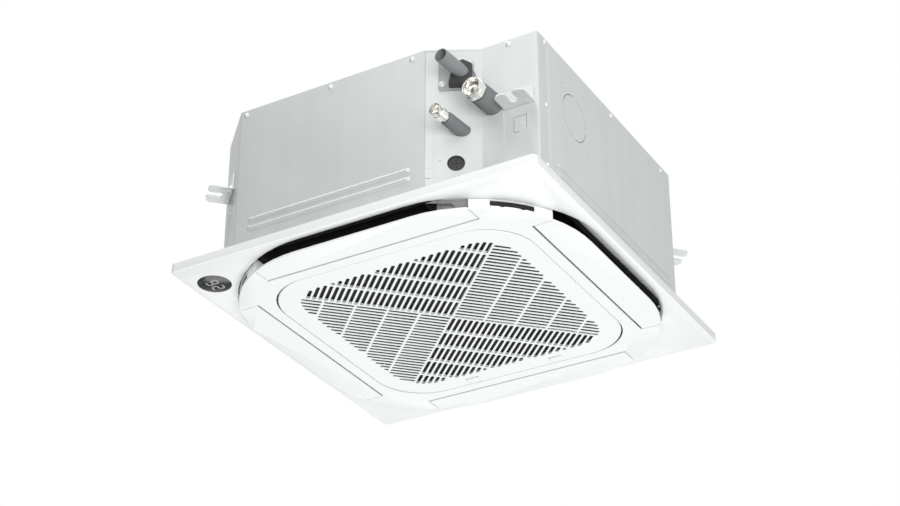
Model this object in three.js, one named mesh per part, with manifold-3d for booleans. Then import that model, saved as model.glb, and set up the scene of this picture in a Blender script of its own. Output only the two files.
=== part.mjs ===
import * as THREE from 'three';
import { mergeGeometries, mergeVertices } from 'three/addons/utils/BufferGeometryUtils.js';
import Module from 'manifold-3d';

const wasm = await Module();
wasm.setup();

// Ceiling cassette air conditioner, millimetres, +Z up, pipes on the -Y side.
// Heights are counted from the crease round the panel's underside; the group at the end moves the
// origin to the plane of the hanger ears.

// Cabinet
const BODY = 570;
const HALF = BODY / 2;
const BODY_BOTTOM = 10;
const BODY_TOP = 270;
const CHAMFER = 72;
const FLAT = HALF - CHAMFER;
const SHEET = 1.2;
const GAP = 0.3;
const LAP = SHEET + GAP;
const SEAM = 0.65;
const HEM = 14;

// Pipe recess in the +X, -Y corner
const RECESS = 39;
const OBLIQUE_X = [118.5, 192];
const PIPE_WRAP = 28;
const RECESS_Y = -HALF + RECESS;

// Panel, from its edge inwards: each margin is counted from the outline outside it.
const PANEL = BODY + 50;
const PANEL_R = 9;
const LIP = 14;
const SKIN = 2.2;
const FACE_Z = -15;
const ISLAND = { half: PANEL / 2 - 21.5, r: 190 };
const DIAGONAL_LOSS = 1 - Math.SQRT1_2;
const THROAT_DIAGONAL = Math.round(ISLAND.half - ISLAND.r * DIAGONAL_LOSS) + 1;

// Flaps: their motors stand beyond their ends, inside the island's rounded corners.
const FLAP_WIDTH = 49.5;
const FLAP_INNER = ISLAND.half - FLAP_WIDTH;
const FLAP_SLOT = FLAP_INNER - 3.5;
const FLAP_END_GAP = 1.5;
const FLAP_T = 2.4;
const FLAP_AXIS = { out: FLAP_INNER + 4, z: -8.5 };
const FLAP_MOTOR = { y: -1.2, z: 8.8, r: 9.2, from: 8.5, to: 24, into: 2.2, room: 0.8 };
const PIN_R = 2.4;
const PIN_CLEAR = 0.5;

// The island's outline at half the flap's length still leaves room for the motor's can.
function flapHalfLength() {
  const straight = ISLAND.half - ISLAND.r;
  const canEdge = FLAP_AXIS.out - FLAP_MOTOR.y + FLAP_MOTOR.r + FLAP_MOTOR.room;
  const canEnd = straight + Math.sqrt((ISLAND.r - SKIN) ** 2 - (canEdge - straight) ** 2);
  return Math.floor(canEnd - FLAP_MOTOR.to + FLAP_MOTOR.into - FLAP_END_GAP);
}
const FLAP_LENGTH = 2 * flapHalfLength();

// Intake opening and its grille
const DUCT = { half: FLAP_SLOT - 2, r: 92 };
const DUCT_TOP = 11.5;
const INTAKE_MARGIN = 18.2;
const INTAKE = { half: FLAP_SLOT - INTAKE_MARGIN, r: 81 };
const GRILLE_GAP = 1;
const GRILLE_R = INTAKE.r + 4;
const FIELD = { half: INTAKE.half - 31.3, r: 62 };
const SLOT_PITCH = 9.3;
const SLOT_WIDTH = 6;
const ROW_PITCH = 50.5;
const RIB = 2.6;
const RIB_T = 2;
const GRILLE_T = 2.4;
const GRILLE_RIM = 7;
const DOOR_AXIS = { y: 17.3 - INTAKE.half, z: -12.2, x: 110, pin: 0.9, bore: 1.2, knuckle: 2.3 };
const LUG = { reach: 11, width: 4.4, t: 3, arm: 2.6 };
const LATCH = { x: 76, y: INTAKE.half - 13.3, width: 23, depth: 17, travel: 4 };

// Air path: the drain pan's outlets lie over the flaps, the coil stands inside them.
const PAN = { bottom: 12, top: 58 };
const OUTLET_WIDTH = 38;
const OUTLET = { inner: HALF - 11 - OUTLET_WIDTH, outer: HALF - 11, length: 2 * (FLAT - 37) };
const COIL = { half: OUTLET.inner - 27, thick: 26, r: 50, bottom: 40.3, top: 236 };
const MOUTH = { z: 15, edge: 150, throat: 112, top: 52, plate: COIL.half - 19, r: 60 };
const FAN = { r: 165, eye: MOUTH.throat + 6, low: MOUTH.top - 8, top: 182, bore: 5.3, blades: 7, wall: 2.2 };
// Facets round the large turned pieces.
const ROUND = 32;
const MOTOR = { r: 62, bottom: 172, top: 258, shaft: 5 };

// Pipes: stub ends outside the wall, all turned a little towards -X
const PIPE_TURN = THREE.MathUtils.degToRad(5.5);
const GAS = { x: 213, z: 162, pipe: 7.9, sleeve: 16.6, nut: 15.6, reach: 62, bare: 22 };
const LIQUID = { x: 167, z: 126, pipe: 3.2, sleeve: 10.5, nut: 9.2, reach: 71, bare: 30 };
const DRAIN = { x: 172.5, z: 222, outer: 10.8, bore: 9.4, reach: 66 };
const COVER_END = 228;
const CABLE = { along: 45, z: 70, r: 12 };

// Hangers
const HANGER_Z = 150;
const EAR = { width: 48, reach: 38, slot: 11.4, seat: { y: 20, r: 7.2 }, t: 2.6, back: 27 };

// ---- shape helpers -------------------------------------------------------------------------

const v2 = (x, y) => new THREE.Vector2(x, y);

function outward(geometry) {
  const flat = geometry.index ? geometry.toNonIndexed() : geometry;
  const p = flat.attributes.position;
  const [a, b, c] = [new THREE.Vector3(), new THREE.Vector3(), new THREE.Vector3()];
  let volume = 0;
  for (let i = 0; i < p.count; i += 3) {
    a.fromBufferAttribute(p, i);
    b.fromBufferAttribute(p, i + 1);
    c.fromBufferAttribute(p, i + 2);
    volume += a.dot(b.cross(c));
  }
  const solid = new THREE.BufferGeometry();
  const xyz = Float32Array.from(p.array);
  if (volume < 0) {
    for (let i = 0; i < xyz.length; i += 9) {
      for (let k = 0; k < 3; k++) [xyz[i + 3 + k], xyz[i + 6 + k]] = [xyz[i + 6 + k], xyz[i + 3 + k]];
    }
  }
  solid.setAttribute('position', new THREE.BufferAttribute(xyz, 3));
  solid.computeVertexNormals();
  return solid;
}

function toManifold(geometry) {
  const bare = new THREE.BufferGeometry();
  bare.setAttribute('position', outward(geometry).attributes.position);
  const merged = mergeVertices(bare, 1e-4);
  return new wasm.Manifold(new wasm.Mesh({
    numProp: 3,
    vertProperties: Float32Array.from(merged.attributes.position.array),
    triVerts: Uint32Array.from(merged.index.array),
  }));
}

function fromManifold(body) {
  const mesh = body.getMesh();
  const geometry = new THREE.BufferGeometry();
  geometry.setAttribute('position', new THREE.BufferAttribute(Float32Array.from(mesh.vertProperties), 3));
  geometry.setIndex(Array.from(mesh.triVerts));
  return outward(geometry);
}

const join = (...pieces) => fromManifold(pieces.map(toManifold).reduce((sum, next) => sum.add(next)));
const cut = (base, ...tools) =>
  fromManifold(tools.map(toManifold).reduce((rest, tool) => rest.subtract(tool), toManifold(base)));
const common = (one, other) => fromManifold(toManifold(one).intersect(toManifold(other)));

function prism(points, z0, z1, holes = []) {
  const shape = new THREE.Shape(points);
  shape.holes = holes.map((hole) => new THREE.Path(hole));
  const geometry = new THREE.ExtrudeGeometry(shape, { depth: z1 - z0, bevelEnabled: false });
  return outward(geometry.translate(0, 0, z0));
}

function block(x0, x1, y0, y1, z0, z1) {
  return prism([v2(x0, y0), v2(x1, y0), v2(x1, y1), v2(x0, y1)], z0, z1);
}

function circle(r, segments, x = 0, y = 0) {
  return Array.from({ length: segments }, (_, i) => {
    const a = (i / segments) * 2 * Math.PI;
    return v2(x + r * Math.cos(a), y + r * Math.sin(a));
  });
}

function roundedRect(halfX, halfY, r, segments) {
  const points = [];
  for (let corner = 0; corner < 4; corner++) {
    const sx = corner === 0 || corner === 3 ? 1 : -1;
    const sy = corner < 2 ? 1 : -1;
    for (let i = 0; i <= segments; i++) {
      const a = (corner + i / segments) * (Math.PI / 2);
      points.push(v2(sx * (halfX - r) + r * Math.cos(a), sy * (halfY - r) + r * Math.sin(a)));
    }
  }
  return points;
}

const roundedSquare = (half, r, segments) => roundedRect(half, half, r, segments);

// Moves an open or closed run of points to its left by d, with mitred corners.
function leftOf(points, d, closed) {
  const n = points.length;
  return points.map((p, i) => {
    const before = closed || i > 0 ? points[(i - 1 + n) % n] : null;
    const after = closed || i < n - 1 ? points[(i + 1) % n] : null;
    const u = before ? p.clone().sub(before).normalize() : null;
    const w = after ? after.clone().sub(p).normalize() : null;
    const along = u && w ? u.clone().add(w).normalize() : u || w;
    const stretch = u && w ? 1 / along.dot(w) : 1;
    return v2(p.x - along.y * d * stretch, p.y + along.x * d * stretch);
  });
}

function strip(path, thickness) {
  return [...path, ...leftOf(path, thickness, false).reverse()];
}

function trimmed(path, start, end) {
  const run = path.map((p) => p.clone());
  const head = run[1].clone().sub(run[0]).normalize();
  run[0].addScaledVector(head, start);
  const last = run.length - 1;
  const tail = run[last - 1].clone().sub(run[last]).normalize();
  run[last].addScaledVector(tail, end);
  return run;
}

function fromTriangles(triangles) {
  const geometry = new THREE.BufferGeometry();
  const xyz = Float32Array.from(triangles.flatMap((p) => [p.x, p.y, p.z]));
  geometry.setAttribute('position', new THREE.BufferAttribute(xyz, 3));
  return outward(geometry);
}

function quadRows(loops, wrap) {
  const triangles = [];
  const rows = wrap ? loops.length : loops.length - 1;
  for (let r = 0; r < rows; r++) {
    const a = loops[r];
    const b = loops[(r + 1) % loops.length];
    a.forEach((p, i) => {
      const j = (i + 1) % a.length;
      triangles.push(p, a[j], b[j], p, b[j], b[i]);
    });
  }
  return triangles;
}

// Closed ring whose cross-section runs through every loop in turn and back to the first.
const ringLoft = (loops) => fromTriangles(quadRows(loops, true));

// Solid between the first and last loop, capped at both.
function loft(sections) {
  const clockwise = THREE.ShapeUtils.isClockWise(sections[0].map((p) => v2(p.x, p.y)));
  const loops = clockwise ? sections.map((loop) => [...loop].reverse()) : sections;
  const triangles = quadRows(loops, false);
  const cap = (loop, flip) => {
    const flat = loop.map((p) => v2(p.x, p.y));
    THREE.ShapeUtils.triangulateShape(flat, []).forEach(([a, b, c]) => {
      triangles.push(...(flip ? [loop[c], loop[b], loop[a]] : [loop[a], loop[b], loop[c]]));
    });
  };
  cap(loops[0], true);
  cap(loops[loops.length - 1], false);
  return fromTriangles(triangles);
}

const lift = (points, z) => points.map((p) => new THREE.Vector3(p.x, p.y, z));

// Profile pairs are radius and height; a profile off the axis is closed on itself.
function lathe(profile, segments) {
  const points = profile.map(([r, z]) => v2(r, z));
  if (profile[0][0] > 0) points.push(points[0].clone());
  return outward(new THREE.LatheGeometry(points, segments).rotateX(Math.PI / 2));
}

function tube(path, radius, segments, sides, bore = 0) {
  const shape = new THREE.Shape(circle(radius, sides));
  if (bore) shape.holes = [new THREE.Path(circle(bore, sides))];
  const curve = new THREE.CatmullRomCurve3(path.map((p) => new THREE.Vector3(...p)), false, 'centripetal');
  return outward(new THREE.ExtrudeGeometry(shape, { steps: segments, extrudePath: curve }));
}

function rod(from, to, radius, sides, bore = 0) {
  const shape = new THREE.Shape(circle(radius, sides));
  if (bore) shape.holes = [new THREE.Path(circle(bore, sides))];
  const curve = new THREE.LineCurve3(new THREE.Vector3(...from), new THREE.Vector3(...to));
  return outward(new THREE.ExtrudeGeometry(shape, { steps: 1, extrudePath: curve }));
}

function turned(geometry, degrees) {
  return geometry.clone().rotateZ(THREE.MathUtils.degToRad(degrees));
}

const finish = (color, roughness, metalness) => ({ color, roughness, metalness });
const COATED = finish(0xd3d7d7, 0.45, 0.25);
const WHITE = finish(0xf6f6f5, 0.38, 0);
const ZINC = finish(0xe2e4e4, 0.4, 0.6);
const FOAM = finish(0xf0f0ec, 0.95, 0);
const RUBBER = finish(0x4c4e50, 0.9, 0);
const DARK = finish(0x232425, 0.6, 0);
const COPPER = finish(0xb87450, 0.35, 0.9);
const BRASS = finish(0xd8d2c0, 0.25, 0.9);
const ALUMINIUM = finish(0xc9cccf, 0.5, 0.8);

const unit = new THREE.Group();

function add(name, geometry, look, parent = unit) {
  const mesh = new THREE.Mesh(geometry, new THREE.MeshStandardMaterial(look));
  mesh.name = name;
  parent.add(mesh);
  return mesh;
}

// ---- cabinet -------------------------------------------------------------------------------

const wall = (path, z0, z1) => prism(strip(path, SHEET), z0, z1);

// Long pressed bead standing out of a wall: centre along the wall, height, and outward side.
function bead(length, z) {
  const [foot, crown, proud, sunk] = [4.2, 1.6, 2.6, 0.6];
  const base = [v2(-length / 2, z - foot), v2(length / 2, z - foot), v2(length / 2, z + foot),
    v2(-length / 2, z + foot)];
  const top = base.map((p) => v2(p.x - Math.sign(p.x) * 2 * foot, z + Math.sign(p.y - z) * crown));
  return loft([lift(base, -sunk), lift(top, proud)]).rotateX(Math.PI / 2);
}

const BEAD_Z = [53.3, 68.3];
const BEAD_LENGTH = { front: 286, right: 384 };

function frontPlate() {
  const path = trimmed([v2(-HALF, -FLAT), v2(-FLAT, -HALF), v2(OBLIQUE_X[0], -HALF)], SEAM, 0);
  const centre = (-FLAT + 22 + OBLIQUE_X[0] - 22) / 2;
  return join(wall(path, BODY_BOTTOM, BODY_TOP - LAP),
    ...BEAD_Z.map((z) => bead(BEAD_LENGTH.front, z).translate(centre, -HALF, 0)));
}

// Dashed round cut for a fresh-air duct, left standing on its bridges.
function knockOutCuts(y, z) {
  const [radius, width, bridges, steps] = [37, 1.4, 4, 5];
  const share = 0.86;
  return Array.from({ length: bridges }, (_, i) => {
    const arc = (r, from) => Array.from({ length: steps + 1 }, (_, k) => {
      const t = from ? k : steps - k;
      const a = ((i + (t / steps) * share) / bridges) * 2 * Math.PI;
      return v2(y + r * Math.cos(a), z + r * Math.sin(a));
    });
    const ring = [...arc(radius + width / 2, true), ...arc(radius - width / 2, false)];
    return prism(ring, HALF - 2 * SHEET, HALF + SHEET).applyMatrix4(
      new THREE.Matrix4().makeBasis(new THREE.Vector3(0, 1, 0), new THREE.Vector3(0, 0, 1),
        new THREE.Vector3(1, 0, 0)));
  });
}

function rightPlate() {
  const start = RECESS_Y + PIPE_WRAP;
  const path = trimmed([v2(HALF - LAP, start - 16), v2(HALF - LAP, start + 2), v2(HALF, start + 5),
    v2(HALF, FLAT), v2(FLAT, HALF)], 0, SEAM);
  const plate = join(wall(path, BODY_BOTTOM, BODY_TOP - LAP),
    ...BEAD_Z.map((z) => turned(bead(BEAD_LENGTH.right, z), 90).translate(HALF, 0, 0)));
  return cut(plate, ...knockOutCuts(-131.6, 182));
}

function rearPlate() {
  const path = trimmed([v2(FLAT, HALF), v2(-FLAT, HALF)], SEAM, SEAM);
  return join(wall(path, BODY_BOTTOM, BODY_TOP - LAP),
    ...BEAD_Z.map((z) => turned(bead(BEAD_LENGTH.right, z), 180).translate(0, HALF, 0)));
}

function leftPlate() {
  const path = trimmed([v2(-FLAT, HALF), v2(-HALF, FLAT), v2(-HALF, -FLAT)], SEAM, SEAM);
  return join(wall(path, BODY_BOTTOM, BODY_TOP - LAP),
    ...BEAD_Z.map((z) => turned(bead(BEAD_LENGTH.right, z), -90).translate(-HALF, 0, 0)));
}

const obliqueStart = v2(OBLIQUE_X[0], -HALF + LAP);
const obliqueEnd = v2(OBLIQUE_X[1], RECESS_Y);
const obliqueAlong = obliqueEnd.clone().sub(obliqueStart).normalize();
const obliqueAngle = Math.atan2(obliqueAlong.y, obliqueAlong.x);
const onOblique = (s) => obliqueStart.clone().addScaledVector(obliqueAlong, s);

const pipeEnd = ({ x, z, reach }, from) => [
  [x + from * Math.sin(PIPE_TURN), wallY(x) + from * Math.cos(PIPE_TURN), z],
  [x - reach * Math.sin(PIPE_TURN), wallY(x) - reach * Math.cos(PIPE_TURN), z],
];

function wallY(x) {
  if (x > OBLIQUE_X[1]) return RECESS_Y;
  return obliqueStart.y + (x - obliqueStart.x) * Math.tan(obliqueAngle);
}

const throughWall = (stub, r) => {
  const [inside, outside] = pipeEnd({ ...stub, reach: 30 }, 30);
  return rod(inside, outside, r, 20);
};

function cableHole() {
  const c = onOblique(CABLE.along);
  const n = v2(obliqueAlong.y, -obliqueAlong.x);
  return rod([c.x - 10 * n.x, c.y - 10 * n.y, CABLE.z], [c.x + 10 * n.x, c.y + 10 * n.y, CABLE.z],
    CABLE.r, 20);
}

function pipePlate() {
  const path = [v2(OBLIQUE_X[0] - 32, -HALF + LAP), obliqueStart, obliqueEnd, v2(HALF, RECESS_Y),
    v2(HALF, RECESS_Y + PIPE_WRAP)];
  return cut(wall(path, BODY_BOTTOM, BODY_TOP - LAP), throughWall(GAS, GAS.sleeve + GAP),
    throughWall(LIQUID, LIQUID.sleeve + GAP), throughWall(DRAIN, DRAIN.outer + 2 * GAP), cableHole());
}

// Lower half of the split pipe closure, standing just off the pipe plate.
function pipeCover() {
  const off = (path) => leftOf(path, -LAP, false);
  const left = wall(off([onOblique(12.3), obliqueEnd, v2(COVER_END, RECESS_Y)]), BODY_BOTTOM + LIP,
    LIQUID.z + 3);
  const right = wall(off([v2(OBLIQUE_X[1] + 2, RECESS_Y), v2(COVER_END, RECESS_Y)]), LIQUID.z, GAS.z - 4);
  return cut(join(left, right), throughWall(GAS, GAS.sleeve + GAP), throughWall(LIQUID, LIQUID.sleeve + GAP),
    cableHole());
}

function bodyOutline() {
  return [v2(-FLAT, -HALF), v2(OBLIQUE_X[0], -HALF), v2(OBLIQUE_X[1], RECESS_Y), v2(HALF, RECESS_Y),
    v2(HALF, FLAT), v2(FLAT, HALF), v2(-FLAT, HALF), v2(-HALF, FLAT), v2(-HALF, -FLAT)];
}

// Lid with a hemmed edge, stiffened by a pressed ring round the motor and a rib to each corner.
function topPlate() {
  const outline = bodyOutline();
  const skirt = leftOf(outline, LAP + LAP + GAP, true);
  const plate = prism(outline, BODY_TOP - SHEET, BODY_TOP);
  const rim = prism(skirt, BODY_TOP - SHEET - HEM, BODY_TOP - SHEET / 2, [leftOf(skirt, SHEET, true)]);
  const [ringIn, ringOut, deep] = [96, 110, 3];
  const pressed = (grow, z) => {
    const ring = lathe([[ringIn - grow, z], [ringIn + 4 - grow, z - deep], [ringOut - 4 + grow, z - deep],
      [ringOut + grow, z]], 40);
    const rib = loft([lift(roundedRect(50 + grow, 4 + grow, 3.9 + grow, 3), z - deep),
      lift(roundedRect(53 + grow, 7 + grow, 6.9 + grow, 3), z)]).translate(190, 0, 0);
    return [ring, ...[45, 135, 225, 315].map((a) => turned(rib, a))];
  };
  return cut(join(plate, rim, ...pressed(SHEET / 2, BODY_TOP - SHEET / 2)),
    ...pressed(0, BODY_TOP + SHEET / 2));
}

function hanger() {
  const { width, reach, slot, seat, t, back } = EAR;
  const w = width / 2;
  const s = slot / 2;
  const side = [v2(w, 0), v2(w, -reach + 16), v2(w - 4, -reach + 6), v2(w - 11, -reach), v2(s + 4, -reach),
    v2(s, -reach + 4), v2(s, -seat.y - 5), v2(seat.r, -seat.y), v2(seat.r * 0.7, -seat.y + seat.r * 0.7)];
  const fork = [...side, v2(0, -seat.y + seat.r), ...side.map((p) => v2(-p.x, p.y)).reverse()];
  const ear = prism(fork.map((p) => v2(p.x, p.y - GAP)), -t, 0);
  const plate = block(-w, w, -t - GAP, -GAP, -t, back);
  const gusset = (x) => loft([
    [[x - 3, -t, -t / 2], [x + 3, -t, -t / 2], [x, -t - 9, -t / 2]].map((p) => new THREE.Vector3(...p)),
    [[x - 1, -t, 9], [x + 1, -t, 9], [x, -t - 1, 9]].map((p) => new THREE.Vector3(...p))]);
  return join(ear, plate, gusset(-15), gusset(15));
}

function buildCabinet() {
  add('top_plate', topPlate(), COATED);
  add('side_plate_front', frontPlate(), COATED);
  add('side_plate_right', rightPlate(), COATED);
  add('side_plate_rear', rearPlate(), COATED);
  add('side_plate_left', leftPlate(), COATED);
  add('pipe_plate', pipePlate(), COATED);
  add('pipe_cover', pipeCover(), COATED);
  const corner = HALF - CHAMFER / 2;
  const places = { front_left: [-corner, -corner, -45], rear_left: [-corner, corner, -135],
    rear_right: [corner, corner, 135], front_right: [HALF - EAR.width / 2 - 7, RECESS_Y, 0] };
  Object.entries(places).forEach(([name, [x, y, degrees]]) => {
    const ear = add(`hanger_${name}`, hanger(), ZINC);
    ear.position.set(x, y, HANGER_Z);
    ear.rotation.z = THREE.MathUtils.degToRad(degrees);
  });
}

// ---- air path and refrigerant --------------------------------------------------------------

const LINING = { inset: 3.3, thick: 10, top: 252 };
const PIPE_BAY = { x: [OBLIQUE_X[0] + 17.5, COVER_END + 6], y: [7 - HALF, RECESS_Y + 22] };

function foamLiner() {
  const outer = leftOf(bodyOutline(), LINING.inset, true);
  const ring = prism(outer, PAN.top + GAP, LINING.top, [leftOf(outer, LINING.thick, true)]);
  return cut(ring, block(...PIPE_BAY.x, ...PIPE_BAY.y, PAN.top, LINING.top - 14));
}

const PUMP = { x: OBLIQUE_X[1] - 6, y: RECESS_Y + 44, r: 24, sump: 28 };
const FLOAT = { x: PUMP.x + 42, y: RECESS_Y + 40, r: 14, stem: 2.6, bore: 3.2, sump: 20, height: 16 };
const SUMP_Z = 40;

function drainPan() {
  const { inner, outer, length } = OUTLET;
  const l = length / 2;
  const slot = roundedRect((outer - inner) / 2, l, 10, 3).map((p) => p.add(v2((inner + outer) / 2, 0)));
  const end = OBLIQUE_X[0];
  const frontSlot = [v2(-l, -outer), v2(end - 6.5, -outer), v2(end + 27.5, 20 - outer),
    v2(end + 27.5, -inner),
    v2(-l, -inner)];
  const spin = (points, degrees) => points.map((p) =>
    p.clone().rotateAround(v2(0, 0), degrees * Math.PI / 180));
  const pan = prism(leftOf(bodyOutline(), LINING.inset, true), PAN.bottom, PAN.top,
    [roundedSquare(MOUTH.plate + GAP, MOUTH.r, 6), slot, spin(slot, 90), spin(slot, 180), frontSlot]);
  const c = COIL.half;
  const trough = prism(roundedSquare(c + COIL.thick / 2 + 3, COIL.r + 16, 6), SUMP_Z, PAN.top + 5,
    [roundedSquare(c - COIL.thick / 2 - 3, COIL.r - 16, 6)]);
  const sumps = [PUMP, FLOAT].map(({ x, y, sump }) => prism(circle(sump, 24, x, y), SUMP_Z, PAN.top + 5));
  return cut(pan, trough, ...sumps);
}

function coilPath(offset) {
  const { half, r } = COIL;
  const points = [v2(half + offset, -150)];
  roundedSquare(half + offset, r + offset, 6).slice(0, 21).forEach((p) => points.push(p));
  points.push(v2(110, -half - offset));
  return points;
}

function coil() {
  const half = COIL.thick / 2;
  return prism([...coilPath(half), ...coilPath(-half).reverse()], COIL.bottom, COIL.top);
}

// End plate of the fin pack with its row of hairpin bends.
function coilEnd() {
  const half = COIL.thick / 2;
  const bends = Array.from({ length: 5 }, (_, i) => {
    const z = COIL.bottom + 20 + i * 35;
    const x = i % 2 ? 6 : -6;
    return tube([[x, 1, z], [x, -7, z + 2], [x, -9, z + 9], [x, -7, z + 16], [x, 1, z + 18]], 3.5, 5, 6);
  });
  return join(block(-half, half, 0, 1.5, COIL.bottom, COIL.top), ...bends);
}

function gasPipe() {
  const [inside, outside] = pipeEnd(GAS, 15);
  const header = rod([209, -177, COIL.bottom + 12], [209, -177, COIL.top - 12], 8.5, 12);
  const run = tube([[209, -177, GAS.z], [210.5, -192, GAS.z], [213.6, -212, GAS.z], inside], GAS.pipe, 6, 12);
  return join(header, run, rod(pipeEnd(GAS, 17)[0], outside, GAS.pipe, 12));
}

function liquidPipe() {
  const [inside, outside] = pipeEnd(LIQUID, 14);
  const header = rod([131, -209, COIL.bottom + 12], [131, -209, COIL.top - 12], 4.8, 8);
  const run = tube([[131, -209, LIQUID.z], [143, -213, LIQUID.z], [158, -226, LIQUID.z], inside],
    LIQUID.pipe, 7, 8);
  return join(header, run, rod(pipeEnd(LIQUID, 16)[0], outside, LIQUID.pipe, 8));
}

function pipeSleeve(stub) {
  const [inside, outside] = pipeEnd({ ...stub, reach: stub.reach - stub.bare }, stub.sleeve * 0.6 + 2);
  return rod(inside, outside, stub.sleeve, 20, stub.pipe + GAP);
}

// Flare nut: hexagon body, round collar and an open coned mouth, along its own +Z.
function flareNut({ nut, pipe, bare }) {
  const length = bare - 2;
  const shell = lathe([[pipe + GAP, 0], [nut * 0.8, 0], [nut * 0.8, length * 0.3], [nut, length * 0.38],
    [nut, length * 0.82], [nut * 0.86, length], [nut * 0.74, length], [pipe + GAP, length * 0.62]], 18);
  const across = (nut * 2) / Math.sqrt(3);
  const hex = prism(circle(across, 6), -1, length + 1);
  return common(shell, hex);
}

function placeOnStub(mesh, stub, fromEnd) {
  const [inside, outside] = pipeEnd(stub, 0).map((p) => new THREE.Vector3(...p));
  const along = outside.clone().sub(inside).normalize();
  mesh.quaternion.setFromUnitVectors(new THREE.Vector3(0, 0, 1), along);
  mesh.position.copy(outside.addScaledVector(along, -fromEnd));
}

function fanMotor() {
  const { r, bottom, top, shaft } = MOTOR;
  const bore = shaft + GAP;
  const can = lathe([[0, bottom + 34], [bore, bottom + 34], [bore, bottom], [30, bottom], [44, bottom + 6],
    [r, bottom + 20], [r, top - 6], [r - 12, top], [0, top]], 24);
  const feet = [0, 90, 180, 270].map((a) => turned(join(block(r - 6, r + 20, -9, 9, top - 22, top - 18),
    prism(circle(8, 8, r + 12, 0), top - 20, BODY_TOP - SHEET - GAP)), a));
  return join(can, ...feet);
}

function motorShaft() {
  const { shaft, bottom } = MOTOR;
  const low = FAN.top - 45;
  return lathe([[0, low], [shaft, low], [shaft, low + 2], [9, low + 2], [9, low + 6.7], [shaft, low + 6.7],
    [shaft, bottom + 33.5], [0, bottom + 33.5]], 12);
}

// Turbo fan: bowl-shaped hub, flared shroud and backward-curved blades that lean between them.
function turboFan() {
  const { r, eye, low, top, bore, blades, wall: w } = FAN;
  const hub = lathe([[r, top - w], [76, top - w], [66, top - 10], [46, top - 24], [24, top - 32],
    [13, top - 34], [13, top - 38], [bore, top - 38], [bore, top - 18], [13, top - 18], [13, top - 29],
    [24, top - 29.4], [45, top - 21.6], [65, top - 7.6], [75, top], [r, top]], ROUND);
  const shroud = lathe([[eye, low], [eye + w, low], [eye + w + 0.2, low + 12], [123, low + 22],
    [130.5, low + 32.5], [143.5, low + 41.8], [r, low + 47.8], [r, low + 50], [142.8, low + 44.2],
    [129, low + 34.5], [121.4, low + 23.5], [eye + 0.2, low + 12.4]], ROUND);
  const swept = lathe([[84, top - 1], [104, 100], [eye + 1.6, low + 18], [122.2, low + 22.8],
    [129.8, low + 33.5], [143.2, low + 43], [r - 0.3, low + 48.9], [r - 0.3, top - 1]], ROUND);
  const steps = 5;
  const blade = (z, lean) => {
    const side = (sign) => Array.from({ length: steps + 1 }, (_, k) => {
      const t = k / steps;
      const radius = 80 + (r + 3 - 80) * t;
      const angle = lean - 0.72 * t ** 0.85;
      const half = sign * (0.9 + 2.1 * Math.sin(Math.PI * t ** 0.6));
      return v2(radius * Math.cos(angle) - half * Math.sin(angle),
        radius * Math.sin(angle) + half * Math.cos(angle));
    });
    return lift([...side(-1), ...side(1).reverse()], z);
  };
  const one = common(loft([blade(low + 8, -0.09), blade(100, 0), blade(top, 0.1)]), swept);
  const set = Array.from({ length: blades }, (_, i) => turned(one, (360 / blades) * i));
  return join(hub, shroud, ...set);
}

function bellMouth() {
  const { z, edge, throat, top, plate, r } = MOUTH;
  const nozzle = lathe([[edge + 3, z], [edge - 2, z], [edge - 16, z + 5], [throat + 10, z + 14],
    [throat + 2, z + 25], [throat, top], [throat + 2, top], [throat + 4, z + 25.6], [throat + 11.8, z + 15.6],
    [edge - 15, z + 7], [edge - 2, z + 2], [edge + 3, z + 2]], ROUND);
  const seat = prism(roundedSquare(plate, r, 6), z, z + 2, [circle(edge, ROUND)]);
  const corner = prism([v2(52, -52), v2(52, -200), v2(200, -200), v2(200, -52)], z - 1, z + 3);
  const keep = prism(circle(edge + 3.2, ROUND), z - 2, top + 2);
  return join(cut(join(seat, nozzle), cut(corner, keep)));
}

// Plan of the electrics box: the corner of the intake left over outside the bell mouth.
function boxPlan(inset) {
  const r = MOUTH.edge + 3.2 + 3 * GAP + inset;
  const far = MOUTH.plate - inset;
  const arc = Array.from({ length: 7 }, (_, i) => {
    const a = THREE.MathUtils.degToRad(-70 + (i / 6) * 50);
    return v2(r * Math.cos(a), r * Math.sin(a));
  });
  const bend = roundedSquare(far, MOUTH.r - inset, 6).slice(21, 28);
  return [...arc.reverse(), v2(arc[arc.length - 1].x + inset, -far), ...bend,
    v2(far, arc[0].y - inset)];
}

const BOX = { low: 0, top: 49, wall: 1.6 };

function controlBox() {
  const tray = prism(boxPlan(0), BOX.low, BOX.top);
  return cut(tray, prism(boxPlan(BOX.wall), BOX.low - 1, BOX.top - BOX.wall));
}

function controlBoard() {
  const z = BOX.top - 9;
  const parts = [[153, 170, -148, -131, 16], [120, 150, -172, -150, 22], [160, 176, -120, -96, 14],
    [98, 112, -176, -160, 18], [156, 172, -88, -74, 11], [127, 137, -145, -135, 26]];
  const board = prism(boxPlan(BOX.wall + 4), z, z + 1.6);
  const posts = [[112, -178], [178, -112], [172, -160]].map(([x, y]) =>
    prism(circle(3, 8, x, y), z + 1, BOX.top - BOX.wall - GAP));
  return join(board, ...posts, ...parts.map(([x0, x1, y0, y1, h]) => block(x0, x1, y0, y1, z - h, z + 0.5)));
}

function terminalBlock() {
  const base = block(84, 96, -182, -146, BOX.low, BOX.low + 16);
  const wells = Array.from({ length: 4 }, (_, i) =>
    rod([90, -177 + i * 9, BOX.low + 10], [90, -177 + i * 9, BOX.low + 18], 3, 8));
  return cut(base, ...wells);
}

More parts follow.
